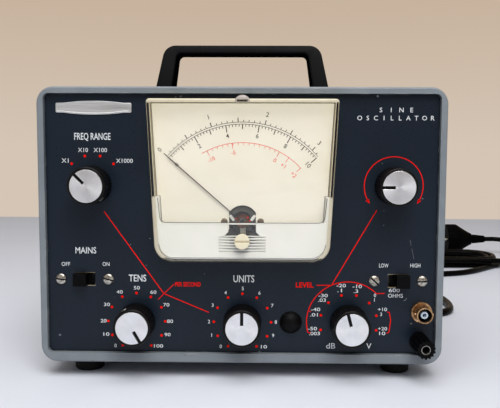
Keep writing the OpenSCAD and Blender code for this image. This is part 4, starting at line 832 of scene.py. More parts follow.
@dataclass
class Studio:
    """Camera, floor, backdrop and lamps."""

    eye: Triple = (11.4, -451.6, 138.65)
    pitch: float = 4.74
    yaw: float = -0.89
    roll: float = 0.22
    lens: float = 48.25
    sensor: float = 36.0
    sight_m: Point = (0.01, 50.0)
    floor_half: float = 3400.0
    floor_front: float = -2600.0
    floor_depth: float = 880.0
    table: str = "#D6D9E2"
    table_drift: str = "#D9DCE5"
    # The colours round the room, and where each turns into the next along its axis, from -1 to 1
    wall_low: str = "#D4C5B5"
    wall_high: str = "#C7B39E"
    wall_ends: Point = (0.0, 0.2)
    room: str = "#9C9288"
    room_left: str = "#B5ABA0"
    left_ends: Point = (-0.4, 0.0)
    rear_ends: Point = (-0.3, 0.3)
    fill: str = "#F1F3F6"
    fill_low: float = 0.06
    fill_high: float = 0.44
    aim: Triple = (0.0, 0.0, 60.0)
    lamps: tuple[tuple[str, Triple, float, float, str], ...] = (
        ("overhead_softbox", (-60, -400, 1100), 900, 9.4, "#FFFFFF"),
        ("front_softbox", (300, -1050, 1250), 800, 11.8, "#FFFEFC"),
    )

    def camera(self) -> None:
        """Sets the camera at the photo's place, angle and field of view."""
        data = bpy.data.cameras.new("camera")
        data.lens, data.sensor_width = self.lens, self.sensor
        data.clip_start, data.clip_end = self.sight_m
        made = bpy.data.objects.new("camera", data)
        pitch, yaw = math.radians(self.pitch), math.radians(self.yaw)
        flat = math.cos(pitch)
        ahead = Vector((math.sin(yaw) * flat, math.cos(yaw) * flat, -math.sin(pitch)))
        level = ahead.to_track_quat("-Z", "Y").to_matrix().to_4x4()
        spin = Matrix.Rotation(math.radians(self.roll), 4, "Z")
        made.matrix_world = Matrix.Translation(Vector(self.eye) * MM) @ level @ spin
        bpy.context.scene.collection.objects.link(made)
        bpy.context.scene.camera = made

    def floor(self) -> None:
        """Lays the pale table top, whose far edge meets the backdrop."""
        half, near, far = self.floor_half * MM, self.floor_front * MM, self.floor_depth * MM
        data = bpy.data.meshes.new("table_top")
        corners = [(-half, near, 0), (half, near, 0), (half, far, 0), (-half, far, 0)]
        data.from_pydata(corners, [], [(0, 1, 2, 3)])
        # Laminate with a fine matt texture: pale, and even over a hand's width
        top = Finish(
            "pale_laminate", self.table, self.table_drift, 0.55, drift_mm=120, grain_mm=2.0,
            grain_depth_mm=0.004,
        )
        data.materials.append(top.material())
        made = bpy.data.objects.new("table_top", data)
        bpy.context.scene.collection.objects.link(made)

    def lamp(self, name: str, at: Triple, size: float, power: float, colour: str) -> None:
        """Hangs a soft lamp that faces the instrument.

        Args:
            name: the lamp's name.
            at: its place.
            size: the side of its square face.
            power: its power in watts.
            colour: the colour of its light.
        """
        data = bpy.data.lights.new(name, "AREA")
        data.size = size * MM
        data.energy = power
        data.color = linear(colour)[:3]
        made = bpy.data.objects.new(name, data)
        made.location = Vector(at) * MM
        way = Vector(self.aim) - Vector(at)
        made.rotation_euler = way.to_track_quat("-Z", "Y").to_euler()
        bpy.context.scene.collection.objects.link(made)

    def world(self) -> None:
        """Fills the room with soft light, and shows its wall to the eye, to metal and to glass.

        The wall stands behind the instrument and darkens upwards, and the room in front of it is
        dimmer.
        """
        world = bpy.data.worlds.new("room")
        bpy.context.scene.world = world
        world.use_nodes = True
        tree = world.node_tree
        tree.nodes.clear()
        path = add_node(tree, "LightPath").outputs
        seen = path["Is Camera Ray"]
        for ray in ("Is Glossy Ray", "Is Transmission Ray"):
            either = {0: seen, 1: path[ray]}
            seen = add_node(tree, "Math", either, operation="MAXIMUM").outputs[0]
        around = add_node(tree, "TexCoord").outputs["Generated"]
        way = add_node(tree, "SeparateXYZ", {0: around}).outputs

        def turning(axis: str, ends: Point, first: Any, second: Any) -> NodeSocket:
            """Turns one colour into another along an axis of the room.

            Args:
                axis: the axis.
                ends: where the first colour ends and where the second is full.
                first: the first colour, or the socket that gives it.
                second: the second colour, or its socket.

            Returns:
                The colour's output.
            """
            span = {"Value": way[axis], "From Min": ends[0], "From Max": ends[1]}
            share = add_node(tree, "MapRange", span).outputs["Result"]
            shades = {0: share, 6: first, 7: second}
            return add_node(tree, "Mix", shades, data_type="RGBA").outputs[2]

        wall = turning("Z", self.wall_ends, linear(self.wall_low), linear(self.wall_high))
        front = turning("X", self.left_ends, linear(self.room_left), linear(self.room))
        shown = {"Color": turning("Y", self.rear_ends, front, wall), "Strength": 1.0}
        rise = {"Value": way["Z"], "To Min": self.fill_low, "To Max": self.fill_high}
        above = add_node(tree, "MapRange", rise).outputs["Result"]
        soft = {"Color": linear(self.fill), "Strength": above}
        light, view = (add_node(tree, "Background", i).outputs[0] for i in (soft, shown))
        both = add_node(tree, "MixShader", {0: seen, 1: light, 2: view}).outputs[0]
        add_node(tree, "OutputWorld", {"Surface": both})

    def build(self) -> None:
        """Sets up the whole studio."""
        bpy.context.scene.view_settings.view_transform = "Standard"
        self.camera()
        self.floor()
        self.world()
        for lamp in self.lamps:
            self.lamp(*lamp)


@dataclass
class MainsLead:
    """The cord from the strain relief to the plug, with its boot and plug."""

    thick: float = 6.0
    table_z: float = 3.0
    length_m: float = 1.8
    start: Triple = (40.0, 94.1, 30.3)
    loose: tuple[Triple, ...] = (
        (42, 118, 27.5), (48.5, 127.5, 23), (60, 132, 16.5), (75, 130.5, 10.5), (91, 124.5, 6),
        (107, 116.5, 3.5), (122, 108, 3), (137, 101, 3), (151, 97.5, 3), (163, 100, 3),
        (171.5, 109, 3), (176, 123, 3), (177.5, 141, 3), (176, 160, 3), (172, 179, 3),
        (167, 198, 3), (162, 217, 3), (160, 236, 3), (164.5, 252.5, 3), (176.5, 264.5, 3),
        (193.5, 271, 3), (213, 275.5, 3), (232, 282, 3), (249, 293.5, 3), (263.5, 307.5, 3),
        (277.7, 322.4, 3),
    )
    tail: tuple[Triple, ...] = (
        (291, 325.9, 9.1), (303.5, 330.5, 7.2), (315, 337.5, 5), (326, 349, 3), (334, 364, 3),
        (339, 380, 4), (342, 396, 7), (342, 410.5, 11), (339.5, 423, 15), (335, 432.5, 18),
        (329, 437.8, 19.2),
    )
    curve_steps: int = 4
    coil_middle: Point = (238.0, 362.0)
    coil_run: float = 51.2
    coil_round: float = 40.0
    coil_step: float = 8.0
    coil_lift: float = 6.5
    coil_in: float = 2.0
    coil_reverse: float = 0.5
    coil_end: float = 4.0
    coil_steps: int = 24
    # How much of a turn the coil stops short of its last bend
    coil_short: float = 0.001
    boot_foot: Triple = (40.0, 70.1, 30.3)
    boot_collar: Points = (
        (7.4, -3.2), (7.4, -1.2), (5.4, -1.2), (5.4, 0.0), (6.6, 0.0), (7.0, 0.5), (7.0, 2.6),
        (6.6, 3.2),
    )
    # Radius and height of the first rib, what each next rib adds, and a rib's points from there
    boot_first: Point = (6.3, 3.2)
    boot_step: Point = (-1 / 3, 3.1)
    boot_rib: Points = ((-0.9, 0.3), (-0.9, 1.1), (0.0, 1.5), (0.0, 2.9))
    boot_ribs: int = 6
    boot_end: Points = ((4.2, 22.6), (4.0, 23.7), (3.4, 24.0))
    plug_at: Triple = (310.0, 440.0, 19.5)
    plug_neck: Points = ((3.2, 0.0), (4.25, 0.2), (4.6, 2.0))
    plug_first: Point = (4.7, 2.5)
    plug_step: Point = (0.35, 3.6)
    plug_rib: Points = ((0.0, 0.0), (0.25, 2.2), (-0.5, 2.5), (-0.5, 3.3))
    plug_ribs: int = 4
    plug_head: Points = (
        (6.0, 17.6), (7.5, 18.2), (9.0, 21.5), (12.5, 27.5), (16.0, 33.0), (18.6, 37.0),
        (19.3, 38.6), (19.5, 40.0), (19.5, 50.2), (19.2, 51.3), (18.3, 52.0),
    )
    grooves: int = 18
    groove_deep: float = 0.45
    groove_ends: Point = (39.0, 51.0)

    def smooth(self, points: Sequence[Triple | Vector]) -> list[Vector]:
        """Runs a smooth curve through points that stays on the table.

        Args:
            points: the points of the route.

        Returns:
            The points of the curve.
        """
        spots = [Vector(p) for p in points]
        curve = []
        for i, (b, c) in enumerate(zip(spots, spots[1:])):
            a, d = spots[max(i - 1, 0)], spots[min(i + 2, len(spots) - 1)]
            bend, twist = 2 * a - 5 * b + 4 * c - d, 3 * b - a - 3 * c + d
            for k in range(self.curve_steps):
                t = k / self.curve_steps
                spot = 0.5 * (2 * b + (c - a) * t + bend * t * t + twist * t * t * t)
                curve.append(Vector((spot.x, spot.y, max(spot.z, self.table_z))))
        return [*curve, spots[-1]]

    def run_share(self) -> float:
        """Gives the share of a turn of the coil that one of its straight runs takes."""
        mean = self.coil_round - self.coil_step * self.coil_in / 2
        return self.coil_run / (2 * self.coil_run + 2 * math.pi * mean)

    def coil_point(self, turn: float) -> Vector:
        """Gives the place on the coil after a number of turns.

        The turns go inwards on the table, and back outwards on top of those.

        Args:
            turn: how far along the coil, in turns.

        Returns:
            The place.
        """
        run, half = self.run_share(), self.coil_run / 2
        back = max(turn - self.coil_in - self.coil_reverse, 0.0)
        radius = self.coil_round - self.coil_step * (min(turn, self.coil_in) - back)
        share, side = turn % 0.5, 1 if turn % 1.0 < 0.5 else -1
        if share < run:
            x, y = -half + self.coil_run * share / run, -radius
        else:
            angle = math.radians(-90 + 180 * (share - run) / (0.5 - run))
            x, y = half + radius * math.cos(angle), radius * math.sin(angle)
        t = min(max((turn - self.coil_in) / self.coil_reverse, 0.0), 1.0)
        height = self.table_z + self.coil_lift * t * t * (3 - 2 * t)
        return Vector((self.coil_middle[0] + side * x, self.coil_middle[1] + side * y, height))

    def route(self) -> list[Vector]:
        """Gives the whole route from the boot to the plug.

        Returns:
            The route's points.
        """
        run, steps = self.run_share(), self.coil_steps
        # The lead joins the coil a quarter through its first bend, where both run at 45 degrees
        begin, turns = run + (0.5 - run) / 4, self.coil_end + run
        out, side = Vector((0, self.thick, 0)), Vector((self.thick, 0, 0))
        way = (out + side) * math.cos(math.radians(45))
        first, last = self.coil_point(begin), self.coil_point(turns - self.coil_short)
        leaving = [Vector(self.start) + k * out for k in range(3)]
        lead = self.smooth([*leaving, *self.loose, first - 2 * way, first - way])
        inner = range(int(steps * begin) + 1, int(steps * turns))
        coil = [self.coil_point(k / steps) for k in inner]
        ending = [Vector(self.plug_at) + k * side for k in (2, 1, 0)]
        tail = self.smooth([*(last + k * side for k in (1, 2, 3)), *self.tail, *ending])
        return [*lead, first, *coil, last, *tail]

    def cord(self) -> Object:
        """Makes the cord itself as one curve.

        Returns:
            The cord.
        """
        data = bpy.data.curves.new("mains_cord", "CURVE")
        data.dimensions = "3D"
        data.bevel_depth = self.thick / 2 * MM
        data.bevel_resolution = 5
        data.use_fill_caps = True
        line = data.splines.new("POLY")
        spots = self.route()
        line.points.add(len(spots) - 1)
        for point, spot in zip(line.points, spots):
            point.co = (*(spot * MM), 1.0)
        line.use_smooth = True
        data.materials.append(CORD_PVC.material())
        made = bpy.data.objects.new("mains_cord", data)
        replaced = ("cord_lead", "cord_coil", "cord_tail")
        return settle(made, Body.INSTRUMENT, replaced)

    def boot(self) -> Object:
        """Makes the ribbed strain relief, which tapers along the cord.

        Returns:
            The boot.
        """
        form = Form()
        ribs = ribbed(self.boot_first, self.boot_step, self.boot_rib, self.boot_ribs)
        profile = [*self.boot_collar, *ribs, *self.boot_end]
        form.lathe(profile, along(self.boot_foot, (0, 1, 0)), sides=48)
        return form.piece("strain_relief_boot", RUBBER, ("cord_strain_relief",), "rubber")

    def plug(self) -> Object:
        """Makes the moulded plug with its ribbed neck and its finger grooves.

        Returns:
            The plug.
        """
        form = Form()
        ribs = ribbed(self.plug_first, self.plug_step, self.plug_rib, self.plug_ribs)
        profile = [*self.plug_neck, *ribs, *self.plug_head]

        def grip(angle: float, height: float) -> float:
            """Cuts shallow finger grooves round the rim."""
            on_rim = self.groove_ends[0] < height < self.groove_ends[1]
            return -self.groove_deep * max(math.cos(self.grooves * angle), 0.0) if on_rim else 0.0

        form.lathe(profile, along(self.plug_at, (-1, 0, 0)), sides=144, ribs=grip)
        return form.piece("mains_plug_moulding", PLUG_PVC, ("plug_body",), "black_plastic")

    def build(self, frame: dict) -> None:
        cord, boot, plug = self.cord(), self.boot(), self.plug()


@dataclass
class Handle:
    """The moulded carrying handle, whose legs flare towards the cabinet."""

    base_w: float = 114.8
    top_w: float = 101.8
    grip_base_w: float = 94.4
    grip_top_w: float = 86.4
    height: float = 31.6
    deep: float = 20.6
    base_deep: float = 30.0
    bar: float = 5.1
    top_round: float = 8.4
    grip_round: float = 3.5
    edge: float = 0.9
    foot: Triple = (-1.0, 6.6, 174.6)
    slack: float = 0.1

    def half_deep(self, z: float) -> float:
        """Gives half the handle's depth at a height."""
        return (self.base_deep + (self.deep - self.base_deep) * z / self.height) / 2

    def build(self) -> None:
        """Skins the handle from front to rear, and dulls the inside of its grip, whose darker
        colour is painted shade.
        """
        base, top, low = self.base_w / 2, self.top_w / 2, self.height - self.bar
        grip_base, grip_top = self.grip_base_w / 2, self.grip_top_w / 2
        corners = [
            (-base, 0.0), (-top, self.height), (top, self.height), (base, 0.0), (grip_base, 0.0),
            (grip_top, low), (-grip_top, low), (-grip_base, 0.0),
        ]
        bends = [0, self.top_round, self.top_round, 0, 0, self.grip_round, self.grip_round, 0]
        outline = rounded(corners, bends, steps=10)
        edge = rounding(self.edge, steps=4)
        rings = []
        for end, steps in ((-1, edge), (1, edge[::-1])):
            for short, pull in steps:
                moved = inset(outline, pull)
                rings.append([
                    (x, end * (self.half_deep(z) - short), max(z, 0.0)) for x, z in moved
                ])
        form = Form()
        foot = Vector(self.foot)
        place = Matrix.Translation(foot * MM) @ Matrix.Scale(MM, 4)
        # The inside of the grip takes a darker finish, as painted shade under the bar
        for face in form.loft(rings, place, first=True, last=True):
            spot = face.calc_center_median() / MM - foot
            inside = abs(spot.x) < grip_base + self.slack and spot.z < low + self.slack
            if inside and abs(spot.y) < self.half_deep(spot.z) - self.edge:
                face.material_index = 1
        form.piece(
            "carry_handle_moulding", HANDLE_ABS, ("carry_handle",), "handle_plastic",
            second=SHADED_GRIP_INSIDE,
        )


@dataclass
class Dial:
    """One knob with its cap, and the ring of dots and numerals round it."""

    name: str
    body: Body
    at: Point
    angle: float
    marks: tuple[tuple[float, str], ...] = ()
    ring: float = 17.3
    # Places of the numerals from the knob's middle, for each step of a mark from straight up
    places: Points = (
        (0.2, 20.5), (10.2, 17.9), (18.0, 10.2), (20.2, 0.1), (18.6, -8.15), (13.1, -15.2),
    )
    profile: Points = (
        (3.3, 5.0), (7.2, 5.0), (7.2, 0.8), (10.8, 0.8), (11.3, 1.1), (11.4, 1.6), (11.36, 2.2),
        (11.1, 13.9), (11.08, 14.5), (11.05, 16.1), (10.92, 16.5), (10.6, 16.7), (9.75, 16.7),
        (9.57, 16.55), (9.55, 15.75), (3.0, 15.75),
    )
    ribs: int = 40
    rib_deep: float = 0.42
    rib_ends: Point = (2.0, 14.2)
    screw_z: float = 10.65
    screw: Points = ((1.9, 9.5), (1.9, 11.05), (1.75, 11.2))
    screw_slot: float = 0.6
    screw_floor: float = 10.6

    def numeral(self, angle: float) -> Point:
        """Gives the middle of the numeral of the mark at an angle."""
        x, y = self.places[round(abs(angle) / MARK_STEP)]
        return self.at[0] + math.copysign(x, angle), self.at[1] + y

    def knob(self) -> None:
        """Turns the ribbed knob, with its recess for the cap, and its set screw."""
        form, screw = Form(), Form()
        frame = panel_at(*self.at, 0.0, self.angle)

        def grip(angle: float, height: float) -> float:
            """Cuts the fine grip ribs into the side."""
            on_side = self.rib_ends[0] < height < self.rib_ends[1]
            return -self.rib_deep * (0.5 - 0.5 * math.cos(self.ribs * angle)) if on_side else 0.0

        form.lathe(self.profile, frame, sides=6 * self.ribs, ribs=grip)
        form.piece(
            f"{self.name}_ribbed_knob", KNOB_PHENOLIC, (f"{self.name}_knob",), "black_plastic",
            sharp=40, body=self.body,
        )
        turn = Matrix.Rotation(math.radians(90), 4, "X")
        side = frame @ Matrix.Translation((0, 0, self.screw_z)) @ turn
        screw.lathe(self.screw, side, sides=32)
        screw.slot(side, self.screw_slot, self.screw_floor)
        screw.piece(
            f"{self.name}_set_screw", STEEL, sharp=40, second=OXIDE_AND_PAINTED_SHADE, body=self.body
        )

    def build(self, frame: dict) -> None:
        """Makes the knob and dresses its cap and shaft.
        """
        self.knob()
        # Spun aluminium: bright, with rings from the lathe that draw the light into wedges
        cap = SpunMetal(
            f"spun_aluminium_{self.name}", "#F1F2F4", "#E6E7EA", 0.32, drift_mm=6, metallic=1.0,
            spread=0.05, grain_mm=0.4, grain_depth_mm=0.003, edge_mm=0.3, middle=self.at,
        )
        dress(frame, cap, f"{self.name}_cap")
        dress(frame, STEEL, f"{self.name}_shaft")


@dataclass
class Movement:
    """What shows of the meter's movement in the dial's arch."""

    pivot: Point
    bend: int = 115
    bend_step: int = 10
    # Half width, half height and lift of the bridge's outer and inner bend
    arch: Triple = (8.6, 8.6, 0.9)
    cave: Triple = (5.4, 5.0, 1.2)
    bridge_z: Point = (1.0, 2.5)
    # Two white tabs that stand in for glints in the arch: painted highlights
    tab_half: Point = (0.8, 2.0)
    tab_round: float = 0.4
    tab_thick: float = 0.5
    tab_at: Triple = (6.3, 2.4, 2.6)
    tab_turn: float = 38.0
    bead: Points = ((0.2, -0.5), (0.6, -0.25), (0.65, 0.15), (0.35, 0.5))
    # Angle and distance of each joint of the coil's leads
    joints: Points = ((62, 3.6), (96, 4.4), (-70, 3.9))
    joint_up: float = 0.8
    joint_z: float = 1.4
    layers: int = 4
    # Inner radius, outer radius and height of the coil's first layer, and what each next one adds
    first_layer: Triple = (2.6, 4.4, 0.2)
    layer_step: Triple = (-0.3, -0.45, 0.3)
    layer_thick: float = 0.25
    coil_up: float = 0.3
    coil_z: float = -1.2

    def bridge(self) -> None:
        """Bends the bridge over the coil."""
        form = Form()
        low, high = self.bridge_z
        rings = []
        for angle in range(-self.bend, self.bend + 1, self.bend_step):
            turn = math.radians(angle)
            outer, inner = (
                (wide * math.sin(turn), tall * math.cos(turn) + up)
                for wide, tall, up in (self.arch, self.cave)
            )
            rings.append([(*outer, low), (*inner, low), (*inner, high), (*outer, high)])
        form.loft(rings, panel_at(*self.pivot), first=True, last=True)
        form.piece("movement_bridge", ALNICO, slot="magnet")

    def tabs(self) -> None:
        """Sets two white tabs on the bridge, as painted highlights for two glints in the arch."""
        form = Form()
        half, tall = self.tab_half
        corners = [(-half, tall), (half, tall), (half, -tall), (-half, -tall)]
        box = rounded(corners, [self.tab_round] * 4, steps=4)
        rings = [raised(box, level) for level in (0.0, self.tab_thick)]
        x, y, z = self.tab_at
        for side in (-1, 1):
            place = panel_at(self.pivot[0] + side * x, self.pivot[1] + y, z, side * self.tab_turn)
            form.loft(rings, place, first=True, last=True)
        form.piece("movement_glint_tabs", WHITE_STYRENE, slot="white_plastic")

    def leads(self) -> None:
        """Beads the joints of the coil's leads."""
        form = Form()
        centre = (self.pivot[0], self.pivot[1] + self.joint_up)
        for turn, reach in self.joints:
            place = panel_at(*polar(centre, turn, reach), self.joint_z)
            form.lathe(self.bead, place, sides=16)
        form.piece("coil_lead_joints", RED_WIRE)

    def coil(self) -> None:
        """Winds the moving coil in layers that step inwards."""
        form = Form()
        place = panel_at(self.pivot[0], self.pivot[1] + self.coil_up, self.coil_z)
        for k in range(self.layers):
            near, far, low = (a + k * b for a, b in zip(self.first_layer, self.layer_step))
            high = low + self.layer_thick
            layer = [(near, low), (far, low), (far, high), (near, high)]
            form.lathe(layer, place, sides=40, closed=False)
        form.piece("moving_coil_winding", COPPER)

    def build(self) -> None:
        """Makes the movement's pieces from the bridge inwards."""
        for part in (self.bridge, self.tabs, self.leads, self.coil):
            part()


@dataclass
class Meter:
    """The output meter: its clear cover, its dial and its mask."""

    middle: float = 0.9
    top: float = 74.9
    bottom: float = -19.5
    top_w: float = 110.6
    low_w: float = 101.0
    top_round: float = 2.0
    low_round: float = 11.0
    least_round: Point = (0.4, 0.8)
    back: float = 1.5
    reach: float = 14.0
    wall: float = 1.6
    front: float = 2.5
    edge: float = 1.2
    inner: float = 0.4
    band: float = 2.1
    arm_top: float = 18.5
    clear_foot: float = 2.75
    tab_half_w: float = 4.6
    tab_tall: float = 4.2
    tab_drop: float = 2.15
    tab_steps: Points = (
        (0.0, 11.6), (0.0, 13.4), (0.3, 14.1), (0.8, 14.6), (1.5, 14.9),
    )
    pivot: Point = (0.9, 3.2)
    span: float = 48.8
    arc: float = 58.4
    arc_gap: float = 0.6
    hairline: float = 0.3
    tick_w: Point = (0.4, 0.55)
    lower_parts: int = 50
    lower_ticks: Triple = (4.8, 3.6, 2.0)
    upper_marks: int = 32
    upper_ticks: Point = (3.2, 1.9)
    lower_numerals: float = 51.6
    upper_numerals: float = 65.0
    # What the upper scale would read at the lower one's full mark
    upper_full: float = 3.16
    numeral_tall: float = 2.7
    red_arc: float = 47.0
    red_ends: Point = (-30.5, 47.2)
    red_marks: tuple[tuple[float, str], ...] = (
        (-26.3, "-10"), (-7.3, "-5"), (27.6, "0"), (35.6, "+1"), (46.9, "+2"),
    )
    red_step: float = 3.9
    red_count: int = 14
    red_ticks: Point = (3.2, 1.6)
    red_w: Triple = (0.36, 0.38, 0.3)
    red_numerals: float = 41.4
    red_numeral_tall: float = 2.5
    plate_z: float = 4.0
    ink_z: float = 0.03
    lip_half_w: float = 47.0
    lip_y: Point = (2.55, 3.45)
    lip_z: Point = (10.3, 11.3)
    lip_round: float = 0.2
    shade_z: float = 11.33
    groove: Points = (
        (-49.0, 18.0), (-47.8, 7.0), (-47.2, 5.0), (-45.6, 3.8), (-43.5, 3.6),
    )
    groove_w: float = 0.35
    rim_in: float = 2.5
    rim_top: float = 17.5
    rim_w: float = 0.26
    # Start, thickness there and end of each rib's painted shade, from the top
    ribs: tuple[Triple, ...] = (
        (3.0, 0.95, 13.5), (3.4, 1.0, 14.0), (3.3, 0.9, 13.5), (2.6, 0.6, 13.3), (0.0, 0.36, 12.5),
        (0.0, 0.36, 5.0),
    )
    rib_top: float = -4.8
    rib_pitch: float = 1.7
    rib_waist: float = 8.8
    waist_share: float = 0.6
    rib_thin: float = 0.34
    finishes: tuple[tuple[Finish, str], ...] = (
        (WHITE_STYRENE, "meter_mask"), (DIAL_LACQUER, "scale_plate"), (ALNICO, "meter_magnet"),
        (BLACK_ABS, "meter_case"), (BROWN_BRASS, "scale_plate_screws"),
        (NEEDLE_LACQUER, "meter_pointer"), (IVORY_UREA, "zero_adjuster"), (STEEL, "zero_lever"),
    )

    def outline(self, pull: float) -> list[Point]:
        """Gives the cover's outline, moved inwards.

        Args:
            pull: how far each side moves inwards.

        Returns:
            The outline's points, clockwise.
        """
        high, low = self.top_w / 2 - pull, self.low_w / 2 - pull
        top, bottom = self.top - pull, self.bottom + pull
        arm = high + (low - high) * (top - self.arm_top) / (top - bottom)
        corners = [
            (-high, top), (high, top), (arm, self.arm_top), (low, bottom), (-low, bottom),
            (-arm, self.arm_top),
        ]
        radii = zip((self.top_round, self.low_round), self.least_round)
        above, below = (max(radius - pull, least) for radius, least in radii)
        moved = [(self.middle + x, y) for x, y in corners]
        return rounded(moved, [above, above, 0, below, below, 0], steps=12)

    def cover(self) -> None:
        """Moulds the clear cover, hollow behind.

        Its outer edge shows milky along the top and beside the mask, and clear beside the dial and
        along the bottom. Beside the mask the milky cream is the cream behind the edge, and along
        the top it is painted reflection of the dial inside the acrylic.
        """
        form = Form()
        flat = panel_at(0, 0)
        rings = [raised(self.outline(0.0), self.back)]
        for pull, short in rounding(self.edge, steps=5):
            rings.append(raised(self.outline(pull), self.reach - short))
        rings.append(raised(self.outline(self.band), self.reach))
        skin = form.loft(rings, flat, last=True)
        hollow = [raised(self.outline(self.wall), self.back)]
        for pull, short in rounding(self.inner, steps=3):
            ceiling = self.reach - self.front - short
            hollow.append(raised(self.outline(self.wall + pull), ceiling))
        lining = form.loft(hollow, flat, last=True)
        foot = form.loft([raised(self.outline(p), self.back) for p in (0.0, self.wall)], flat)
        shoulder = skin[len(rings[0]) :]
        # Faces, and whether they are clear beside the dial and along the bottom
        for faces, by_dial, by_foot in (
            (shoulder, True, True), (foot, True, False), (lining, False, True)
        ):
            for face in faces:
                height = face.calc_center_median().z / MM - MID_Z
                beside = by_dial and self.arm_top <= height <= self.top - self.band
                below = by_foot and height < self.bottom + self.clear_foot
                face.material_index = 0 if beside or below else 1
        bmesh.ops.remove_doubles(form.mesh, verts=form.mesh.verts[:], dist=WELD_GAP)
        form.piece(
            "meter_cover_moulding", ACRYLIC, ("meter_cover",), "clear_plastic", sharp=50,
            second=MILKY_EDGE,
        )

    def tab(self) -> None:
        """Moulds the half-moon tab on the cover's top edge."""
        tab = Form()
        turns = [math.radians(a) for a in range(-90, 91, 6)]
        half_moon = [(self.tab_half_w * math.sin(a), self.tab_tall * math.cos(a)) for a in turns]
        rings = [raised(inset(half_moon, pull), z) for pull, z in self.tab_steps]
        place = panel_at(self.middle, self.top - self.tab_drop)
        tab.loft(rings, place, first=True, last=True)
        tab.piece("meter_cover_tab", SMOKY_TAB, slot="clear_plastic", sharp=50)

    def scales(self) -> None:
        """Prints the two black scales and the red one.

        The real hairlines are finer than a pixel of the render, so they are drawn coarser.
        """
        black, red = Print(self.plate_z + self.ink_z), Print(self.plate_z + self.ink_z)
        low, full = -self.span, 2 * self.span
        upper, lower = self.arc + self.arc_gap, self.arc - self.arc_gap
        for radius in (upper, lower):
            black.arc(self.pivot, radius, low, self.span, self.hairline, steps=90)
        fine, bold = self.tick_w
        for k in range(self.lower_parts + 1):
            tens, fives = k % 10 == 0, k % 5 == 0
            inner = self.arc - self.lower_ticks[0 if tens else 1 if fives else 2]
            turn = low + full * k / self.lower_parts
            black.spoke(self.pivot, turn, inner, lower, bold if fives else fine)
        for k in range(self.upper_marks):
            fives = k % 5 == 0
            outer = self.arc + self.upper_ticks[0 if fives else 1]
            turn = low + full * k / 10 / self.upper_full
            black.spoke(self.pivot, turn, upper, outer, bold if fives else fine)
        below = [(str(2 * k), k / 5, self.lower_numerals) for k in range(6)]
        above = [(str(k), k / self.upper_full, self.upper_numerals) for k in range(4)]
        for text, share, radius in below + above:
            turn = low + full * share
            black.word(text, polar(self.pivot, turn, radius), self.numeral_tall, turn=turn)
        black.piece("meter_scales", BLACK_INK)
        long, short = self.red_ticks
        arc_w, mark_w, tick_w = self.red_w
        red.arc(self.pivot, self.red_arc, *self.red_ends, arc_w, steps=60)
        for turn, text in self.red_marks:
            red.spoke(self.pivot, turn, self.red_arc - long, self.red_arc, mark_w)
            at = polar(self.pivot, turn, self.red_numerals)
            red.word(text, at, self.red_numeral_tall, turn=turn)
        for k in range(self.red_count):
            turn = self.red_marks[0][0] + self.red_step * k
            red.spoke(self.pivot, turn, self.red_arc - short, self.red_arc, tick_w)
        red.piece("meter_red_scale", SCARLET_INK)

    def mask_trim(self) -> None:
        """Adds the mask's lip over the movement, and paints shade into the ribs round the zero
        screw, under the lip and along the mask's rim.
        """
        lip = Form()
        soft = self.lip_round
        (y0, y1), (z0, z1) = self.lip_y, self.lip_z
        side = [(y0, z0), (y0, z1 - soft), (y0 + soft, z1)]
        side += [(y1 - soft, z1), (y1, z1 - soft), (y1, z0)]
        ends = (self.middle - self.lip_half_w, self.middle + self.lip_half_w)
        rings = [[(x, y, z) for y, z in side] for x in ends]
        lip.loft(rings, panel_at(0, 0), first=True, last=True)
        lip.piece("mask_lip", WHITE_STYRENE, slot="white_plastic")
        # Painted shade: dark lines under the lip and along the mask's rim, and dark wedges in the
        # ribs
        shade = Print(self.shade_z)
        edge = [*self.groove, *((-x, y) for x, y in self.groove[::-1])]
        shade.stroke([(self.middle + x, y) for x, y in edge], self.groove_w)
        rim = [p for p in self.outline(self.rim_in) if p[1] < self.rim_top]
        shade.stroke(rim, self.rim_w)
        for k, (near, thick, reach) in enumerate(self.ribs):
            y = self.rib_top - self.rib_pitch * k
            waist = min(self.rib_waist, self.waist_share * reach)
            half = [(near, -thick), (waist, -self.rib_thin), (reach, 0.0)]
            half += [(waist, self.rib_thin), (near, thick)]
            for way in (-1, 1):
                shape = [(self.middle + way * x, y + up / 2) for x, up in half]
                shade.form.flat(shape, shade.frame)
        shade.piece("mask_painted_shades", PAINTED_GROOVE_SHADE)

    def build(self, frame: dict) -> None:
        """Makes the meter's pieces and dresses its nodes.
        """
        self.cover()
        self.tab()
        self.scales()
        self.mask_trim()
        Movement(self.pivot).build()
        for finish, node in self.finishes:
            dress(frame, finish, node)


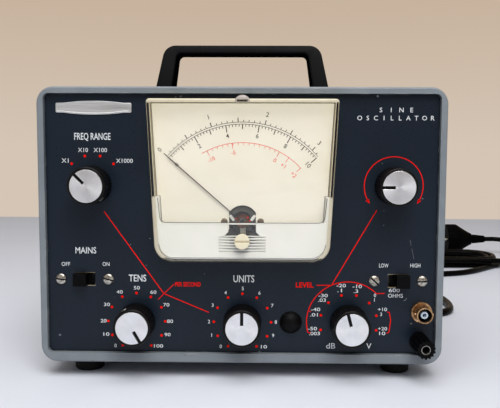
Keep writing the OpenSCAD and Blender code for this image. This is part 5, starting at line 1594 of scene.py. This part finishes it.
@dataclass
class PanelPrint:
    """The white and red print on the panel, its worn places and its bare badge."""

    dials: list[Dial]
    lift: float = 0.04
    wear_lift: float = 0.02
    dot: float = 1.6
    digit: float = 1.85
    digit_tall: float = 2.15
    bold_digit: float = 0.01
    bold_heading: float = 0.012
    bold_red: float = 0.02
    line: float = 0.5
    arc_steps: int = 60
    # Text, middle, height and width, with a width of 0 for the font's own
    labels: tuple[tuple[str, Point, float, float], ...] = (
        ("OFF", (-105.6, -23.2), 2.4, 5.2), ("ON", (-81.3, -23.1), 2.4, 4.2),
        ("LOW", (85.4, -22.9), 2.4, 5.6), ("HIGH", (104.2, -22.8), 2.4, 6.0),
        ("dB", (54.4, -72.2), 3.4, 5.6), ("V", (77.4, -72.2), 3.4, 0.0),
        ("X1", (-104.9, 39.0), 2.5, 4.2), ("X10", (-94.1, 45.3), 2.5, 6.0),
        ("X100", (-83.8, 45.3), 2.5, 8.0), ("X1000", (-69.5, 39.0), 2.5, 10.0),
        ("600", (92.0, -37.9), 2.4, 6.6), ("OHMS", (92.8, -41.2), 2.4, 9.0),
    )
    numbers: tuple[tuple[str, Point], ...] = (
        ("-50", (43.2, -61.7)), (".003", (44.5, -64.7)), ("-40", (45.0, -49.9)),
        (".01", (44.1, -53.2)), ("-30", (49.4, -41.4)), (".03", (48.8, -44.2)),
        ("-20", (60.2, -35.2)), (".1", (59.3, -38.2)), ("-10", (69.8, -35.7)),
        (".3", (69.0, -38.6)), ("0", (80.5, -41.0)), ("1", (80.2, -43.8)),
        ("+10", (85.1, -49.6)), ("3", (84.4, -52.6)), ("+20", (85.4, -61.4)),
        ("10", (85.3, -64.3)),
    )
    headings: tuple[tuple[str, Point, float, float], ...] = (
        ("FREQ RANGE", (-88.4, 53.0), 4.9, 21.6), ("TENS", (-62.4, -31.5), 4.3, 10.6),
        ("UNITS", (1.7, -31.5), 4.4, 12.6), ("MAINS", (-93.4, -14.8), 3.9, 12.6),
    )
    # Text, height over the middle and pitch of the spaced letters
    titles: tuple[tuple[str, float, float], ...] = (("SINE", 69.4, 6.0), ("OSCILLATOR", 64.7, 4.75))
    title_x: float = 90.9
    title_tall: float = 2.7
    red_words: tuple[tuple[str, Point, float, float], ...] = (
        ("PER SECOND", (-32.0, -35.1), 2.7, 15.4), ("LEVEL", (38.3, -35.0), 3.2, 10.6),
    )
    junction: Point = (-46.5, -40.9)
    # Share of the line's width, start and end of each line through the junction
    crossing: tuple[tuple[float, Point, Point], ...] = (
        (1.0, (-82.0, 8.7), (-19.4, -52.2)), (0.85, (-50.0, -44.6), (-40.4, -35.1)),
    )
    red_lines: tuple[Points, ...] = (
        ((80.6, 10.3), (54.8, -34.3)),
        ((45.4, -35.2), (54.0, -35.1)),
        ((81.6, -40.2), (82.3, -39.9), (86.2, -39.8)),
        ((40.4, -63.9), (42.3, -64.6)),
        ((88.1, -51.2), (89.3, -51.4), (90.2, -56.2), (89.3, -63.5), (88.0, -64.2)),
    )
    bracket: Point = (64.2, -57.6)
    bracket_round: float = 24.6
    bracket_ends: Point = (-104.8, 45.0)
    bracket_ticks: tuple[float, ...] = (-74, -42, -14, 14)
    tick_long: float = 1.7
    tick_thin: float = 0.8
    level: Point = (90.3, 24.65)
    level_round: float = 17.4
    level_end: float = 122.0
    arrow: Point = (2.2, 1.1)
    arrow_tip: float = 0.5
    arrow_turn: float = 3.0
    # Place and size of each chip
    chips: tuple[Triple, ...] = (
        (-66.5, -11.1, 0.8), (-54.7, -7.4, 0.7), (-57.1, -23.7, 0.6), (-110.0, -66.8, 1.5),
        (11.4, -76.4, 1.4), (79.8, 77.4, 1.6), (83.3, 38.1, 0.6), (107.5, 17.4, 0.8),
        (-35.8, 77.0, 1.3), (-38.8, 76.8, 0.9), (102.6, -58.1, 1.1), (-22.0, -28.7, 0.6),
    )
    chip: Points = ((-0.5, -0.2), (-0.2, 0.4), (0.3, 0.3), (0.55, -0.1), (0.1, -0.45))
    scratches: tuple[tuple[float, Points], ...] = (
        (0.45, ((97.7, -44.2), (98.8, -43.8), (99.5, -42.5))),
        (0.22, ((100.7, -7.4), (101.5, -11.0))),
        (0.16, ((101.9, -12.6), (103.3, -19.1))),
    )
    badge_at: Point = (-87.4, 70.2)
    badge_half: Point = (22.5, 2.9)
    badge_cut: float = 0.6
    badge_bow: float = 1.2
    bow_half: int = 18
    bow_step: int = 3
    badge_steps: Points = ((0, 0.02), (0, 0.5), (0.25, 0.7), (0.9, 0.7), (1.05, 0.55))

    def number(self, white: Print, text: str, at: Point) -> None:
        """Prints a number in low, wide digits round its middle."""
        width = self.digit * (len(text) - 0.5 * text.count(".")) if len(text) > 1 else 0.0
        white.word(text, at, self.digit_tall, width, bold=self.bold_digit)

    def wear(self) -> None:
        """Lays bare a few chips and scratches in the panel's enamel."""
        marks = Print(self.wear_lift)
        for x, y, size in self.chips:
            marks.form.flat([(x + size * a, y + size * b) for a, b in self.chip], marks.frame)
        for width, points in self.scratches:
            marks.stroke(points, width)
        marks.piece("panel_chips", SCRAPED_STEEL)

    def white_layer(self) -> None:
        """Prints the numerals, the labels and the title."""
        white = Print(self.lift)
        for dial in self.dials:
            for angle, text in dial.marks:
                if text:
                    self.number(white, text, dial.numeral(angle))
        for label in self.labels:
            white.word(*label)
        for text, at in self.numbers:
            self.number(white, text, at)
        for heading in self.headings:
            white.word(*heading, bold=self.bold_heading)
        for text, y, pitch in self.titles:
            first = self.title_x - pitch * (len(text) - 1) / 2
            for k, letter in enumerate(text):
                white.word(letter, (first + pitch * k, y), self.title_tall)
        white.piece("panel_white_print", WHITE_INK)

    def red_layer(self) -> None:
        """Prints the dots, the lines between the controls and the two brackets."""
        red = Print(self.lift)
        for dial in self.dials:
            for angle, _ in dial.marks:
                red.dot(polar(dial.at, angle, dial.ring), self.dot)
        for thin, start, end in self.crossing:
            red.stroke([start, self.junction, end], self.line * thin)
        for word in self.red_words:
            red.word(*word, bold=self.bold_red)
        for points in self.red_lines:
            red.stroke(points, self.line)
        red.arc(self.bracket, self.bracket_round, *self.bracket_ends, self.line, self.arc_steps)
        for turn in self.bracket_ticks:
            inner = self.bracket_round - self.tick_long
            red.spoke(self.bracket, turn, inner, self.bracket_round, self.line * self.tick_thin)
        ends = (-self.level_end, self.level_end)
        red.arc(self.level, self.level_round, *ends, self.line, self.arc_steps)
        long, wide = self.arrow
        for side in (-1, 1):
            angle = side * (self.level_end + self.arrow_turn)
            turn = math.radians(angle)
            tip = Vector(polar(self.level, angle, self.level_round))
            ahead = Vector((math.cos(turn), -math.sin(turn))) * side
            wing, root = Vector((-ahead.y, ahead.x)) * wide, tip - ahead * long
            red.form.flat([tip + ahead * self.arrow_tip, root + wing, root - wing], red.frame)
        red.piece("panel_red_print", RED_INK)

    def badge(self) -> None:
        """Fits the bare badge, a bowed plate with a raised rim."""
        badge = Form()
        half, up = self.badge_half
        span, cut = self.bow_half, self.badge_cut
        across = range(-span, span + 1, self.bow_step)
        bow = [(x, up + self.badge_bow * (1 - (x / span) ** 2)) for x in across]
        edge = [(-half, up - cut), (cut - half, up), *bow, (half - cut, up), (half, up - cut)]
        edge += [(x, -y) for x, y in edge[::-1]]
        rings = [raised(inset(edge, pull), z) for pull, z in self.badge_steps]
        badge.loft(rings, panel_at(*self.badge_at), first=True, last=True)
        badge.piece("bare_badge", BRUSHED_ALUMINIUM)

    def build(self) -> None:
        """Wears the enamel, prints both layers and fits the badge."""
        self.wear()
        self.white_layer()
        self.red_layer()
        self.badge()


@dataclass
class SlideSwitches:
    """The slide switches' screws, which replace the plain ones, and the edges of their frames."""

    power: Point = (-94.2, -32.25)
    load: Point = (94.2, -32.25)
    pitch: float = 28.6
    head: float = 6.6
    height: float = 1.7
    rim: float = 0.45
    foot_in: float = 0.15
    foot_z: float = 0.2
    shank: Points = ((1.4, -6.0), (1.4, 0.02))
    slot_w: float = 0.95
    slot_floor: float = 0.75
    turns: tuple[float, ...] = (8.0, 14.0, 42.0, -4.0)
    frame_half: Point = (6.2, 3.96)
    frame_z: float = -0.3
    frame_edge: float = 0.24

    def screw(self, tag: str, at: Point, turn: float) -> None:
        """Makes one domed, slotted screw.

        Args:
            tag: the end of its name.
            at: its place on the panel.
            turn: the turn of its slot.
        """
        form = Form()
        frame, radius = panel_at(*at, 0.0, turn), self.head / 2
        angles = [math.radians(a) for a in range(0, 86, 9)]
        tall = self.height - self.rim
        dome = [(radius * math.cos(a), self.rim + tall * math.sin(a)) for a in angles]
        rim = ((radius - self.foot_in, self.shank[-1][1]), (radius, self.foot_z))
        form.lathe([*self.shank, *rim, *dome], frame, sides=48)
        form.slot(frame, self.slot_w, self.slot_floor)
        form.piece(
            f"slotted_screw_{tag}", NICKEL, ("slide_switch_screws",), "nickel", sharp=40,
            second=OXIDE_AND_PAINTED_SHADE,
        )

    def build(self, frame: dict) -> None:
        """Makes four screws, each turned its own way, and dresses the switches.
        """
        turns = iter(self.turns)
        for name, (x, y) in (("power", self.power), ("load", self.load)):
            for side, end in ((-1, "left"), (1, "right")):
                self.screw(f"{name}_{end}", (x + side * self.pitch / 2, y), next(turns))
        edges = Print(self.frame_z)
        half, up = self.frame_half
        for x, y in (self.power, self.load):
            for side in (-1, 1):
                ends = [(x - half, y + side * up), (x + half, y + side * up)]
                edges.stroke(ends, self.frame_edge)
        edges.piece("switch_frame_edges", CUT_BRASS)
        dress(frame, STEEL, "slide_switch_bodies")
        dress(frame, BLACK_ABS, "power_slider", "load_slider")


@dataclass
class Terminals:
    """Painted shade: dark linings in the jack's barrel and the post's bore, and dark rings in the
    gaps round their contacts.
    """

    jack: Point = (108.2, -50.85)
    post: Point = (107.5, -69.15)
    # Profiles of the dark linings and rings, painted as shade
    jack_linings: tuple[Points, ...] = (
        ((2.55, 0.55), (3.9, 0.55), (3.9, 10.1), (4.03, 10.3)),
        ((0.72, 9.03), (1.15, 9.03)),
        ((2.1, 9.03), (2.39, 9.03)),
    )
    post_linings: tuple[Points, ...] = (
        ((0.1, 10.0), (2.05, 10.0), (2.05, 17.3), (2.09, 17.6)),
        ((2.1, 17.73), (2.35, 17.73)),
    )

    def build(self) -> None:
        """Lines the jack's barrel and the post's bore with painted shade, and rings their contacts
        with it.
        """
        form = Form()
        for at, linings in ((self.jack, self.jack_linings), (self.post, self.post_linings)):
            for profile in linings:
                form.lathe(profile, panel_at(*at), sides=48, closed=False)
        form.piece("terminal_painted_shade", OXIDE_AND_PAINTED_SHADE)


@dataclass
class Cabinet:
    """The cabinet, its panel and everything in it that keeps its CAD shape."""

    finishes: tuple[tuple[Finish, tuple[str, ...]], ...] = (
        (CABINET_ENAMEL, ("cabinet_shell", "rear_cover")),
        (PANEL_ENAMEL, ("front_panel",)),
        (RUBBER, ("rubber_feet",)),
        (NICKEL, ("case_screws", "chassis_screws", "panel_nuts", "post_stud", "plug_pins")),
        (STEEL, ("chassis",)),
        (LAMINATION, ("power_transformer",)),
        (CAN_ALUMINIUM, ("filter_capacitor",)),
        (PAPER_PHENOLIC, ("tube_sockets", "terminal_strips", "rotary_switches", "level_control")),
        (TUBE_GLASS, ("vacuum_tubes", "stabiliser_lamp", "pilot_lamp")),
        (WAXED_PARTS, ("wired_components",)),
        (DARK_LENS, ("pilot_lens",)),
        (BRASS, ("jack_shell", "jack_nut")),
        (FLUOROPOLYMER, ("jack_insulator",)),
        (BLACK_ABS, ("post_insulators", "post_cap")),
    )

    def build(self, frame: dict) -> None:
        for finish, nodes in self.finishes:
            dress(frame, finish, *nodes)


def marks(first: float, numerals: Iterable[str]) -> tuple[tuple[float, str], ...]:
    """Gives the marks round a knob from a first angle on, each with its numeral or none."""
    return tuple((first + MARK_STEP * k, text) for k, text in enumerate(numerals))


def main() -> None:
    """Builds the scene: camera and cord first, then the instrument."""
    logging.basicConfig(level=logging.INFO, format="%(name)s: %(message)s")
    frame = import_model()
    Studio().build()
    MainsLead().build(frame)
    Cabinet().build(frame)
    Handle().build()
    bare = [""]
    dials = [
        Dial("multiplier", Body.MULTIPLIER, (-88.5, 24.65), -45, marks(-45, bare * 4), 17.7),
        Dial("tens", Body.TENS, (-63.1, -57.95), 150, marks(-150, map(str, range(0, 101, 10)))),
        Dial("units", Body.UNITS, (0.9, -57.95), 0, marks(-150, map(str, range(11)))),
        Dial("attenuator", Body.ATTENUATOR, (64.9, -57.95), -15, marks(-105, bare * 8)),
        Dial("level", Body.LEVEL, (90.3, 24.65), -90),
    ]
    for dial in dials:
        dial.build(frame)
    Meter().build(frame)
    PanelPrint(dials).build()
    SlideSwitches().build(frame)
    Terminals().build()


if __name__ == "__main__":
    main()
